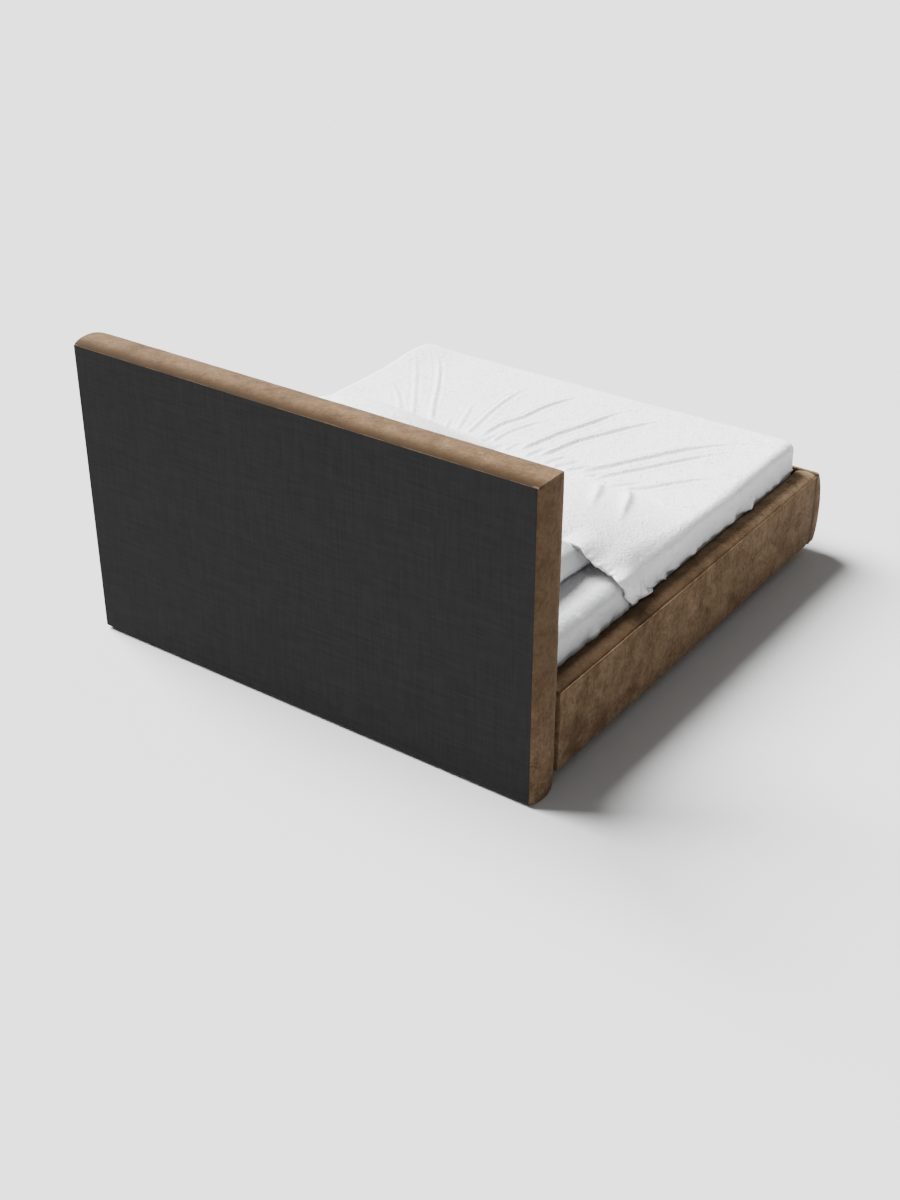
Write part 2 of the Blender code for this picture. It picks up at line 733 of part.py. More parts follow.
def duvet_folds(x, y):
    """Main folds, fanned from the crease towards the foot."""
    crease = back_y - duvet_crease_distance
    foot = foot_inner_y + mattress_room
    down = (crease - y) / (crease - foot)
    if down <= 0.0 or down >= fold_end_share:
        return 0.0
    fade = math.sin(math.pi * down / fold_end_share) ** fold_fade_share
    total = 0.0
    for start, end in fold_fan_shares:
        centre = (start + (end - start) * down) * mattress_width / 2
        total += math.exp(-((x - centre) / fold_width) ** 2)
    return fold_height * fade * total


def make_duvet():
    """A filled cover over the foot of the bed and half the pillows, hems on the rails' tops."""
    bm = rounded_block(16, 18)
    hem = rail_top + rail_crown + seat_gap
    head = back_y - duvet_head_distance
    whole = bm.verts[:] + bm.edges[:] + bm.faces[:]
    bmesh.ops.bisect_plane(bm, geom=whole, clear_inner=True, dist=seat_gap,
                           plane_co=(0.0, 0.0, hem), plane_no=(0.0, 0.0, 1.0))
    whole = bm.verts[:] + bm.edges[:] + bm.faces[:]
    bmesh.ops.bisect_plane(bm, geom=whole, clear_outer=True, dist=seat_gap,
                           plane_co=(0.0, head, 0.0), plane_no=(0.0, 1.0, 0.0))
    push_out(bm, sheet_room + sheet_thickness + duvet_room)
    for v in bm.verts:
        if v.co.z < hem + duvet_hem_thickness:
            v.co.z = hem
    levels = {}
    for v in bm.verts:
        up = blend(v.co.z, hem, mattress_top)
        shoulder = blend(v.co.z, mattress_top - mattress_edge_radius, mattress_top)
        v.co.z += duvet_mound(v.co.x, v.co.y) * shoulder
        levels[tuple(round(c, 5) for c in v.co)] = up

    def move(co):
        up = levels[tuple(round(c, 5) for c in co)]
        thick = duvet_hem_thickness + (duvet_thickness - duvet_hem_thickness) * up
        half = mattress_width / 2
        far = blend(co.x, half * duvet_far_share, half)
        near = blend(-co.x, half - mattress_edge_radius, half)
        foot = blend(-(co.y - room_middle_y), mattress_length / 2 - mattress_edge_radius,
                     mattress_length / 2)
        moved = Vector(co)
        moved.x += far * duvet_overhang - near * duvet_hem_thickness
        moved.y -= foot * duvet_hem_thickness
        moved.z += thick * blend(co.z, hem, mattress_top) + duvet_folds(co.x, co.y) * up
        return moved

    thicken(bm, move)
    smooth(add_object("duvet", bm, cotton), math.radians(60))


def make_bed():
    make_headboard()
    for label, sign in (("near", -1), ("far", 1)):
        make_rail(label, sign)
        make_bracket("corner_bracket_head_" + label, sign, -1, head_front_y)
        make_bracket("corner_bracket_foot_" + label, sign, 1, foot_inner_y)
    make_footboard()
    make_base()
    make_mattress()
    make_sheet()
    make_pillow("near", -1)
    make_pillow("far", 1)
    make_duvet()


make_bed()
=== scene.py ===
import json
import math
import bmesh
import bpy
from mathutils import Matrix, Vector, noise
from mathutils.bvhtree import BVHTree


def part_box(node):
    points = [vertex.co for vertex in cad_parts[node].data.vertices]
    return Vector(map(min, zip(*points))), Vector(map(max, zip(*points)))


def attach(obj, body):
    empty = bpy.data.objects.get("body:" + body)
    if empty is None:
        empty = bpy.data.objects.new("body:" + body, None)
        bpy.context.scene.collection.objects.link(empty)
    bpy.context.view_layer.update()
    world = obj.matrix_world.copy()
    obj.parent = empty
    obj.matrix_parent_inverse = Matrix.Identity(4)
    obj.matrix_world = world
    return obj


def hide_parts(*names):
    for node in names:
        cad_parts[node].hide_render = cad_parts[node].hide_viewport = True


# Upholstered bed: brown velvet over a padded frame, white cotton bedding.
# Metres, +Z up, head at +Y. Near is -X, the side that the photograph shows.
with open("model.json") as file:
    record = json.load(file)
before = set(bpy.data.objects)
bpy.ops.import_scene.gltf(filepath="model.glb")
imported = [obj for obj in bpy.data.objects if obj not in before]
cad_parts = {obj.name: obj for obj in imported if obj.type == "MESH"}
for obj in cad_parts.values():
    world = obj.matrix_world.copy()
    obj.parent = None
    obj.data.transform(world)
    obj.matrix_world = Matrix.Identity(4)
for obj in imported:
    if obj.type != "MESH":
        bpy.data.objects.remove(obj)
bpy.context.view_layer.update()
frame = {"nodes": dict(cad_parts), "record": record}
boxes = {name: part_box(name) for name in frame["nodes"]}      # lowest and highest corner of each CAD node

photo = {
    "width": 900, "height": 1200,                 # pixels
    "focal": 1643.2, "centreY": 573.2,            # pixels
    "place": (-3.346, 4.8655, 3.403),             # metres
    "heading": 35.581, "pitch": 29.543,           # degrees
    "sensor": 36.0,                               # millimetres
}


def addCamera():
    head, pitch = math.radians(photo["heading"]), math.radians(photo["pitch"])
    forward = Vector((math.sin(head) * math.cos(pitch), -math.cos(head) * math.cos(pitch),
                      -math.sin(pitch)))
    right = forward.cross(Vector((0, 0, 1))).normalized()
    up = right.cross(forward)
    lens = bpy.data.cameras.new("photoCamera")
    lens.sensor_width = photo["sensor"]
    lens.lens = photo["sensor"] * photo["focal"] / photo["height"]
    lens.shift_y = (photo["centreY"] - photo["height"] / 2) / photo["height"]
    camera = bpy.data.objects.new("photoCamera", lens)
    turn = Matrix((right, up, -forward)).transposed()
    camera.matrix_world = Matrix.Translation(photo["place"]) @ turn.to_4x4()
    bpy.context.scene.collection.objects.link(camera)
    bpy.context.scene.camera = camera


addCamera()
print("camera is in place")


# Materials

def linear(code):
    # An sRGB hex colour as the linear one that a shader takes
    parts = [int(code[i:i + 2], 16) / 255 for i in (1, 3, 5)]
    return [c / 12.92 if c <= 0.04045 else ((c + 0.055) / 1.055) ** 2.4 for c in parts] + [1.0]


def newMaterial(name):
    material = bpy.data.materials.new(name)
    material.use_nodes = True
    tree = material.node_tree
    return material, tree, tree.nodes["Principled BSDF"], add(tree, "TexCoord").outputs["Object"]


def add(tree, kind, links=None, **settings):
    # Adds a node; links gives each input a value or the socket that feeds it
    made = tree.nodes.new("ShaderNode" + kind)
    for key, value in settings.items():
        setattr(made, key, value)
    for key, value in (links or {}).items():
        if isinstance(value, bpy.types.NodeSocket):
            tree.links.new(value, made.inputs[key])
        else:
            made.inputs[key].default_value = value
    return made


def perMetre(millimetres):
    # A pattern's scale whose features are about this many millimetres across
    return 1000.0 / millimetres


def cloud(tree, place, millimetres, detail, distortion=0.0, roughness=0.5):
    # Noise with features about this many millimetres across
    return add(tree, "TexNoise", {"Vector": place, "Scale": perMetre(millimetres), "Detail": detail,
                                  "Distortion": distortion, "Roughness": roughness}).outputs["Fac"]


def spread(tree, value, low, high, **settings):
    # Brings a value from between two limits to between 0 and 1
    return add(tree, "MapRange", {"Value": value, "From Min": low, "From Max": high}, **settings).outputs[0]


def stretch(tree, place, **settings):
    return add(tree, "Mapping", {"Vector": place, **settings}).outputs[0]


def blend(tree, share, dark, light):
    # Between two colours; dark may be a socket
    first = dark if isinstance(dark, bpy.types.NodeSocket) else linear(dark)
    return add(tree, "Mix", {0: share, 6: first, 7: linear(light)}, data_type="RGBA").outputs[2]


def emboss(tree, shader, *layers):
    # Bumps on top of one another, each a height with its strength and its depth in metres
    below = {}
    for height, strength, depth in layers:
        bump = add(tree, "Bump", {"Height": height, "Strength": strength, "Distance": depth, **below})
        below = {"Normal": bump.outputs[0]}
    tree.links.new(below["Normal"], shader.inputs["Normal"])


velvetLook = {
    "dark": "#261A0C", "mid": "#5E4B38", "light": "#816D56",
    "patch": 120, "mottle": 27, "streak": 7, "pile": 1.6,   # mm; real pile is 0.3 mm, drawn coarser to show
    "reach": (0.27, 0.34, 0.13, 0.11),                      # how far each of these four shifts the tone
}


def makeVelvet():
    # Crushed viscose velvet: the pile lies in patches that catch the light differently
    look = velvetLook
    material, tree, shader, place = newMaterial("crushedVelvet")
    # The nap attribute holds each face's tone: the pile's own, with painted light and shade laid over it
    napAndPaintedLight = add(tree, "Attribute", attribute_name="napAndPaintedLight").outputs["Fac"]
    patch = cloud(tree, place, look["patch"], 3.0, 0.9)
    mottle = cloud(tree, place, look["mottle"], 5.0, 1.6, 0.62)
    drawn = stretch(tree, place, Scale=(1.0, 0.45, 0.22), Rotation=(0.5, 0.25, 0.0))
    streak = cloud(tree, drawn, look["streak"], 3.0, 0.5)
    pile = cloud(tree, place, look["pile"], 2.0)
    shift = 0.0
    for texture, reach in zip((patch, mottle, streak, pile), look["reach"]):
        part = add(tree, "MapRange", {"Value": texture, "From Min": 0.3, "From Max": 0.7,
                                      "To Min": -reach, "To Max": reach})
        shift = add(tree, "Math", {0: part.outputs[0], 1: shift}, operation="ADD").outputs[0]
    # The darker the tone, both the pile's own and the painted shade, the calmer its pattern
    tone = add(tree, "Math", {0: shift, 1: napAndPaintedLight, 2: napAndPaintedLight}, operation="MULTIPLY_ADD").outputs[0]
    brown = blend(tree, spread(tree, tone, 0.0, 0.5), look["dark"], look["mid"])
    brown = blend(tree, spread(tree, tone, 0.5, 1.0), brown, look["light"])
    tree.links.new(brown, shader.inputs["Base Color"])
    emboss(tree, shader, (mottle, 0.4, 0.0020), (pile, 0.35, 0.0008))
    shader.inputs["Roughness"].default_value = 0.90
    shader.inputs["Specular IOR Level"].default_value = 0.10
    shader.inputs["Sheen Weight"].default_value = 0.05
    shader.inputs["Sheen Roughness"].default_value = 0.45
    shader.inputs["Sheen Tint"].default_value = linear("#C79A6B")
    return material


cottonLook = {"crinkle": 11, "crease": 48, "line": 70, "thread": 1.2}     # mm; real thread is 0.2 mm


def makeCotton(name, cloth, shade, crinkle, crease):
    # Washed cotton percale: matt white, softly crinkled from the wash
    look = cottonLook
    material, tree, shader, place = newMaterial(name)
    broad = cloud(tree, place, look["crease"], 4.0, 1.2)
    small = cloud(tree, place, look["crinkle"], 3.0, 0.8)
    thread = cloud(tree, place, look["thread"], 1.0)
    ridge = spread(tree, small, 0.35, 0.65, interpolation_type="SMOOTHSTEP")
    # Crease lines run where this noise passes its middle value, and only in some patches
    path = cloud(tree, place, look["line"], 3.0, 1.4)
    centred = add(tree, "Math", {0: path, 1: 0.5}, operation="SUBTRACT")
    away = add(tree, "Math", {0: centred.outputs[0]}, operation="ABSOLUTE")
    line = add(tree, "MapRange", {"Value": away.outputs[0], "From Min": 0.0, "From Max": 0.022,
                                  "To Min": 1.0, "To Max": 0.0}, interpolation_type="SMOOTHSTEP")
    lines = add(tree, "Math", {0: line.outputs[0], 1: spread(tree, broad, 0.42, 0.62)}, operation="MULTIPLY")
    # The colour turns to the shade colour in the hollows of the broad creases: painted shade
    tree.links.new(blend(tree, broad, shade, cloth), shader.inputs["Base Color"])
    emboss(tree, shader, (broad, crease, 0.006), (ridge, crinkle, 0.0012), (lines.outputs[0], 0.80, 0.0028),
           (thread, 0.12, 0.0004))
    shader.inputs["Roughness"].default_value = 0.88
    shader.inputs["Specular IOR Level"].default_value = 0.3
    shader.inputs["Sheen Weight"].default_value = 0.15
    return material


def makeLining():
    # Spunbond lining cloth: matt charcoal with faint upright fibres
    material, tree, shader, place = newMaterial("spunbondLining")
    fibre = cloud(tree, stretch(tree, place, Scale=(1.0, 1.0, 0.06)), 7, 4.0)
    cross = cloud(tree, stretch(tree, place, Scale=(0.08, 1.0, 1.0)), 9, 3.0)
    both = add(tree, "Math", {0: fibre, 1: cross}, operation="ADD").outputs[0]
    tone = blend(tree, spread(tree, both, 0.7, 1.3), "#1E1E1F", "#242425")
    tree.links.new(tone, shader.inputs["Base Color"])
    emboss(tree, shader, (both, 0.25, 0.0006))
    shader.inputs["Roughness"].default_value = 0.95
    shader.inputs["Specular IOR Level"].default_value = 0.08
    return material


def makeGrain(name, dark, light, grain, roughness, depth):
    # Planed wood: pale and dark growth in soft, uneven clouds
    material, tree, shader, place = newMaterial(name)
    fibre = cloud(tree, stretch(tree, place, Scale=(0.9, 0.9, 0.9)), grain, 5.0, 0.6)
    tree.links.new(blend(tree, spread(tree, fibre, 0.3, 0.7), dark, light), shader.inputs["Base Color"])
    emboss(tree, shader, (fibre, 0.3, depth))
    shader.inputs["Roughness"].default_value = roughness
    return material


def makeSpeckled(name, dark, light, speck, roughness, depth):
    # Foam cells, board chips, paint or moulded grain: one speckle with its own size and depth
    material, tree, shader, place = newMaterial(name)
    cells = add(tree, "TexVoronoi", {"Vector": place, "Scale": perMetre(speck)}).outputs["Distance"]
    both = add(tree, "Math", {0: cells, 1: cloud(tree, place, speck * 9, 3.0)}, operation="MULTIPLY")
    tone = blend(tree, spread(tree, both.outputs[0], 0.05, 0.4), dark, light)
    tree.links.new(tone, shader.inputs["Base Color"])
    emboss(tree, shader, (cells, 0.4, depth))
    shader.inputs["Roughness"].default_value = roughness
    return material


def makeTicking():
    # Mattress ticking: cream knit, quilted in diamonds 90 mm wide
    material, tree, shader, place = newMaterial("quiltedTicking")
    heights = []
    for turn in (45, -45):
        turned = stretch(tree, place, Rotation=(0.0, 0.0, math.radians(turn)))
        band = add(tree, "TexWave", {"Vector": turned, "Scale": perMetre(90) / 20, "Distortion": 0.4,
                                     "Detail": 1.0}, bands_direction="X")
        heights.append(add(tree, "Math", {0: band.outputs["Fac"], 1: 0.35}, operation="POWER").outputs[0])
    quilt = add(tree, "Math", {0: heights[0], 1: heights[1]}, operation="MULTIPLY")
    knit = cloud(tree, place, 2, 2.0)
    tree.links.new(blend(tree, knit, "#CFCABC", "#EBE7DC"), shader.inputs["Base Color"])
    emboss(tree, shader, (quilt.outputs[0], 0.7, 0.006), (knit, 0.3, 0.0006))
    shader.inputs["Roughness"].default_value = 0.9
    return material


velvet = makeVelvet()
coverCotton = makeCotton("washedCottonCover", "#ECECED", "#E1E2E3", 0.95, 0.48)
# The sheet and pillowcases are greyer than the cover: partly a greyer cotton, partly painted shade
sheetCotton = makeCotton("washedCottonSheet", "#D2D3D5", "#C6C7C9", 0.80, 0.40)
ticking = makeTicking()
frameLooks = {
    "charcoal_lining": makeLining(),
    "upholstery_foam": makeSpeckled("openCellFoam", "#C9BC8E", "#E9DFB8", 2.2, 0.95, 0.0012),
    "chipboard": makeSpeckled("rawChipboard", "#8F6E45", "#CBAA78", 3.5, 0.8, 0.0004),
    "pine": makeGrain("planedPine", "#B98A54", "#E2BC86", 14, 0.6, 0.0003),
    "black_steel": makeSpeckled("powderCoatedSteel", "#0E0E0F", "#1C1C1E", 1.4, 0.5, 0.0002),
    "black_plastic": makeSpeckled("mouldedPolypropylene", "#0F0F10", "#1B1B1C", 1.1, 0.55, 0.0001),
}
print("materials are made")


# Helpers for meshes

def ofKind(items, kind):
    return [item for item in items if isinstance(item, kind)]


def smoothStep(value, low, high):
    t = min(1.0, max(0.0, (value - low) / (high - low)))
    return t * t * (3 - 2 * t)


def curveThrough(points, steps):
    # A smooth path through a few given points
    path = []
    points = [Vector(p) for p in points]
    last = len(points) - 1
    for i in range(last):
        a, b, c, d = (points[min(max(k, 0), last)] for k in (i - 1, i, i + 1, i + 2))
        for k in range(steps):
            t = k / steps
            path.append(((b * 2) + (c - a) * t + (a * 2 - b * 5 + c * 4 - d) * t * t
                         + (b * 3 - a - c * 3 + d) * t ** 3) / 2)
    return path + [points[last]]


def softAbs(value):
    # The size of a value, with a rounded valley where it passes nought
    return math.sqrt(value * value + 0.012) - 0.11


def wave(x, y, z, seed):
    return noise.noise(Vector((x, y, z)) + Vector((seed * 7.1, seed * 3.7, seed * 5.3)))


def finishPiece(name, bm, material, replaced, thickness=0.0, sharp=50.0, napAndPaintedLight=None):
    # Turns a bmesh into a piece of the bed that stands for its CAD node
    bmesh.ops.remove_doubles(bm, verts=bm.verts[:], dist=0.00002)
    bmesh.ops.recalc_face_normals(bm, faces=bm.faces[:])
    mesh = bpy.data.meshes.new(name)
    bm.to_mesh(mesh)
    bm.free()
    if napAndPaintedLight:
        values = mesh.attributes.new("napAndPaintedLight", "FLOAT", "POINT")
        for v in mesh.vertices:
            values.data[v.index].value = napAndPaintedLight(v.co, v.normal)
    mesh.materials.append(material)
    mesh.shade_smooth()
    mesh.set_sharp_from_angle(angle=math.radians(sharp))
    piece = bpy.data.objects.new(name, mesh)
    bpy.context.scene.collection.objects.link(piece)
    if thickness:
        wall = piece.modifiers.new("Thickness", "SOLIDIFY")
        wall.thickness = thickness
        wall.offset = -1.0
    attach(piece, "root")
    if replaced:
        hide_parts(*replaced)
    return piece


def nextRing(bm, edges, order):
    # Extrudes a ring of edges; gives its new edges, and its new points in the order asked for
    made = bmesh.ops.extrude_edge_only(bm, edges=edges)["geom"]
    new = [e for e in ofKind(made, bmesh.types.BMEdge) if all(v in made for v in e.verts)]
    return new, sorted(ofKind(made, bmesh.types.BMVert), key=order)


def drawAlong(bm, length, cuts):
    # Draws an outline out along the bed and cuts the long faces across
    made = bmesh.ops.extrude_edge_only(bm, edges=bm.edges[:])["geom"]
    bmesh.ops.translate(bm, vec=(0, length, 0), verts=ofKind(made, bmesh.types.BMVert))
    long = [e for e in bm.edges if abs(e.verts[0].co.y - e.verts[1].co.y) > 1.0]
    bmesh.ops.subdivide_edges(bm, edges=long, cuts=cuts, use_grid_fill=True)


def flatCloth(low, high, countX, countY):
    # A level grid of cloth between two corners
    bm = bmesh.new()
    bmesh.ops.create_grid(bm, x_segments=countX, y_segments=countY, size=0.5)
    bmesh.ops.scale(bm, vec=(high[0] - low[0], high[1] - low[1], 1.0), verts=bm.verts[:])
    bmesh.ops.translate(bm, vec=((low[0] + high[0]) / 2, (low[1] + high[1]) / 2, 0.0), verts=bm.verts[:])
    return bm


def closeEnd(bm, axis, level):
    # Velvet closes the end of a cover that lies at this level of the axis
    rim = [e for e in bm.edges if all(abs(v.co[axis] - level) < 1e-6 for v in e.verts)]
    bmesh.ops.contextual_create(bm, geom=rim)


def pushAlongNormals(bm, distance):
    bm.normal_update()
    moves = [(v, v.normal * distance(v.co, v.normal)) for v in bm.verts]
    for v, move in moves:
        v.co += move


# Headboard

farSideNap = 0.5                     # the far sides' tone is this share of the near sides'

headboardForm = {
    "skin": 0.0015, "lip": 0.0225, "bulge": 0.0095, "steps": 4, "cuts": 72,
    "profile": (                     # depth from the back, out from the flat size
        (0.0, -0.0090), (0.0004, -0.0042), (0.0040, -0.0012), (0.0140, 0.0024), (0.0310, 0.0061),
        (0.0550, 0.0088), (0.0820, 0.0095), (0.1060, 0.0081), (0.1260, 0.0048), (0.1420, 0.0),
        (0.1550, -0.0067), (0.1645, -0.0166), (0.1690, -0.0320), (0.1705, -0.0840)),
    "ripple": 0.0011, "pucker": 0.0009, "seamDip": 0.0016,
    "napFront": 0.40, "napTop": 0.02, "paintedBackShade": 0.40, "napTopFall": 0.08,
    "napSide": 0.26, "paintedBounceLow": 0.40, "napSideFront": 0.24,
}


def headboardNapAndLight(place, normal):
    form = headboardForm
    low, high = boxes["headboard_cover"]
    depth = (high.y - place.y) / (high.y - low.y)
    if normal.z > 0.6:                                       # top: painted shade along the back edge, lighter towards the front, and a little darker at the front edge
        return (form["napTop"] + form["paintedBackShade"] * smoothStep(depth, 0.0, 0.42)
                - form["napTopFall"] * smoothStep(depth, 0.80, 1.0))
    if abs(normal.x) > 0.6:                                  # sides: dark, with painted floor bounce light towards the bottom and a lighter front edge
        downward = 1 - (place.z - low.z) / (high.z - low.z)
        sideTone = (form["napSide"] + form["paintedBounceLow"] * downward ** 3
                   + form["napSideFront"] * smoothStep(depth, 0.62, 0.92))
        return sideTone if normal.x < 0 else farSideNap * sideTone
    return form["napFront"]


def makeHeadboardCover():
    form = headboardForm
    low, high = boxes["headboard_cover"]
    halfX = (high.x - low.x) / 2 - form["bulge"]
    halfZ = (high.z - low.z) / 2 - form["bulge"]
    middleZ = (high.z + low.z) / 2
    path = [Vector((0.0005, -form["lip"]))] + curveThrough(form["profile"], form["steps"])
    bm = bmesh.new()
    corners = [bm.verts.new((0, 0, 0)) for _ in range(4)]
    signs = [(-1, -1), (1, -1), (1, 1), (-1, 1)]
    edges = [bm.edges.new((corners[i], corners[(i + 1) % 4])) for i in range(4)]

    def place(verts, point):
        for v, (signX, signZ) in zip(verts, signs):
            v.co = (signX * (halfX + point.y), high.y - point.x, middleZ + signZ * (halfZ + point.y))

    place(corners, path[0])
    for point in path[1:]:
        edges, verts = nextRing(
            bm, edges, lambda v: signs.index((-1 if v.co.x < 0 else 1, -1 if v.co.z < middleZ else 1)))
        place(verts, point)
    bmesh.ops.contextual_create(bm, geom=edges)
    rings = [e for e in bm.edges if abs(e.verts[0].co.y - e.verts[1].co.y) < 1e-7]
    rings = [e for e in rings if e.calc_length() > 0.5]
    bmesh.ops.subdivide_edges(bm, edges=rings, cuts=form["cuts"], use_grid_fill=True)
    bmesh.ops.recalc_face_normals(bm, faces=bm.faces[:])

    def swell(co, normal):
        if co.y > high.y - 0.001:
            return 0.0
        out = form["ripple"] * wave(co.x * 3.1, co.y * 4, co.z * 3.1, 1)
        out += form["pucker"] * wave(co.x * 16, co.y * 9, co.z * 16, 2)
        toCorner = min(abs(abs(co.x) - halfX), 1) + min(abs(abs(co.z - middleZ) - halfZ), 1)
        out -= form["seamDip"] * (1 - smoothStep(toCorner, 0.0, 0.03))
        return out

    pushAlongNormals(bm, swell)
    finishPiece("headboardVelvet", bm, velvet, ["headboard_cover"],
                form["skin"], 42.0, headboardNapAndLight)


makeHeadboardCover()
print("headboard is covered")


# Side rails

railForm = {
    "skin": 0.0015, "steps": 3, "cuts": 190,
    "outline": (                     # inward from the outer face, up from the underside
        (0.0340, 0.0016), (0.0120, 0.0004), (0.0030, 0.0006), (0.0012, 0.0060), (0.0003, 0.0320),
        (-0.0018, 0.1130), (-0.0020, 0.2090), (-0.0014, 0.2700), (-0.0004, 0.3060), (0.0000, 0.3126),
        (0.0010, 0.3154), (0.0034, 0.3178), (0.0096, 0.3222), (0.0260, 0.3266), (0.0480, 0.3279),
        (0.0710, 0.3256), (0.0870, 0.3208), (0.0944, 0.3150), (0.0958, 0.3060), (0.0960, 0.2000),
        (0.0960, 0.0060), (0.0940, 0.0006), (0.0740, 0.0010)),
    "seamPoint": 10,                 # the outline's point at which the welt runs
    "swollen": 0.002112,             # how far the CAD face stands out past the flat
    "ripple": 0.0016, "pucker": 0.0011, "headPucker": 0.0022,
    "weltRadius": 0.0022, "weltOut": 0.0012, "weltWander": 0.0010,
    "seamHalf": 0.0045, "jointHalf": 0.012,
    "napTop": 0.18, "paintedLightInward": 0.20, "paintedLightFoot": 0.58, "paintedLightFootInward": 0.36, "napSeam": 0.08,
    "napSide": 0.61, "napSideUp": 0.08, "napCrushed": 0.20, "napJoint": 0.30, "napInner": 0.2,
    "weltPaintedHighlight": 0.66,
}


def towardsHead(y):
    # 0 at the foot, 1 at the headboard
    low, high = boxes["rail_cover_near"]
    return (y - low.y) / (high.y - low.y)


def headShare(y):
    # The head half is the softer one: 0 there where the rail is crisp, 1 by the headboard
    return smoothStep(towardsHead(y), 0.45, 0.95)


def railNapAndLight(place, normal):
    form = railForm
    low, high = boxes["rail_cover_near"]
    up = (place.z - low.z) / (high.z - low.z)
    head = headShare(place.y)
    # Painted shade along the seam, under the welt, with dark dots towards the head where the seam puckers
    toSeam = math.exp(-((place.z - low.z - form["outline"][form["seamPoint"]][1]) / form["seamHalf"]) ** 2)
    dots = toSeam * (0.12 + 0.75 * head * max(0.0, wave(place.y * 36, 0, 0, 5) + 0.08))
    if normal.z > 0.5 and up > 0.8:                          # top: dark, with painted light towards the duvet and the foot against the duvet's shade
        inward = (abs(low.x) - abs(place.x)) / (high.x - low.x) if place.x < 0 else 0.5
        foot = (1 - towardsHead(place.y)) ** 2
        return (form["napTop"] + form["paintedLightInward"] * inward - 0.5 * dots - form["napSeam"] * toSeam
                + (form["paintedLightFoot"] + form["paintedLightFootInward"] * inward) * foot)
    if abs(place.x) < high.x and abs(place.x) < abs(low.x) - 0.08:
        return form["napInner"]
    crushed = wave(place.y * 8, place.z * 12, 0, 14) + wave(place.y * 22, place.z * 26, 0, 15)
    crushed = head * smoothStep(crushed, 0.0, 0.5)
    atJoint = math.exp(-((place.y - low.y) / form["jointHalf"]) ** 2)
    sideTone = (form["napSide"] - form["napSideUp"] * up - dots - form["napCrushed"] * crushed
               - form["napJoint"] * atJoint)
    return sideTone if place.x < 0 else farSideNap * sideTone


def makeRailCover(label, side):
    form = railForm
    low, high = boxes["rail_cover_" + label]
    outer = 1.0 if side > 0 else -1.0
    face = low.x + form["swollen"] if side < 0 else high.x - form["swollen"]
    path = curveThrough(form["outline"], form["steps"])
    bm = bmesh.new()
    verts = [bm.verts.new((face - outer * p.x, low.y, low.z + p.y)) for p in path]
    for pair in zip(verts, verts[1:]):
        bm.edges.new(pair)
    drawAlong(bm, high.y - low.y, form["cuts"])
    for y in (low.y, high.y):
        closeEnd(bm, 1, y)
    bmesh.ops.recalc_face_normals(bm, faces=bm.faces[:])
    seamZ = low.z + form["outline"][form["seamPoint"]][1]

    def swell(co, normal):
        fromEnd = min(co.y - low.y, high.y - co.y)
        if co.z < low.z + 0.004 or abs(normal.y) > 0.9:
            return 0.0
        out = form["ripple"] * wave(co.y * 3.3, co.z * 5, outer, 3)
        out += form["pucker"] * wave(co.y * 14, co.z * 10, outer, 4)
        nearSeam = math.exp(-((co.z - seamZ) / 0.022) ** 2)
        gathers = wave(co.y * 34, co.z * 6, outer, 5) + 0.5 * wave(co.y * 80, co.z * 9, outer, 6)
        out += (0.35 + 0.65 * headShare(co.y)) * form["headPucker"] * nearSeam * gathers
        inside = 1.0 if abs(co.x) > abs(face) - 0.09 else 0.0      # the hidden inner face stays flat
        return max(out, -0.0007) * smoothStep(fromEnd, 0.0, 0.02) * inside

    pushAlongNormals(bm, swell)
    finishPiece("railVelvet_" + label, bm, velvet, ["rail_cover_" + label],
                form["skin"], 60.0, railNapAndLight)

    # The welt: a thin cord under the velvet, crisp at the foot and drawn in at the head
    welt = bmesh.new()
    ring = bmesh.ops.create_circle(welt, radius=form["weltRadius"], segments=10)["verts"]
    bmesh.ops.rotate(welt, verts=ring, cent=(0, 0, 0), matrix=Matrix.Rotation(math.radians(90), 3, "X"))
    bmesh.ops.translate(welt, verts=ring,
                        vec=(face + outer * form["weltOut"], low.y, seamZ + form["weltOut"]))
    drawAlong(welt, high.y - low.y, form["cuts"])
    bmesh.ops.holes_fill(welt, edges=welt.edges[:])
    for v in welt.verts:
        head = headShare(v.co.y)
        v.co.z += form["weltWander"] * (0.4 + head) * wave(v.co.y * 9, 0, outer, 8)
        v.co.x -= outer * form["weltWander"] * head * (1 + wave(v.co.y * 30, 0, outer, 9))
    # The welt's raised tone is a painted highlight along the cord
    finishPiece("railWelt_" + label, welt, velvet, ["rail_welt_" + label],
                0.0, 60.0, lambda place, normal: form["weltPaintedHighlight"])


makeRailCover("near", -1)
makeRailCover("far", 1)
print("rails are covered")


# Footboard

footForm = {
    "skin": 0.0015, "steps": 4, "cuts": 120, "endRadius": 0.014, "endSteps": 7,
    "outline": (                     # out from the inner face, up from the underside
        (0.0100, 0.0010), (0.0015, 0.0006), (0.0, 0.0060), (0.0, 0.1600), (0.0, 0.3150), (0.0010, 0.3250),
        (0.0060, 0.3290), (0.0190, 0.3278), (0.0356, 0.3128), (0.0518, 0.2847), (0.0656, 0.2466),
        (0.0761, 0.2036), (0.0810, 0.1589), (0.0802, 0.1125), (0.0753, 0.0679), (0.0648, 0.0314),
        (0.0500, 0.0060), (0.0440, 0.0008), (0.0250, 0.0014)),
    "ripple": 0.0016, "pucker": 0.0011, "jointHalf": 0.007,
    "napEnd": 0.72, "napEndUp": 0.10, "napJoint": 0.60, "napFront": 0.42, "napFrontUp": 0.20,
}


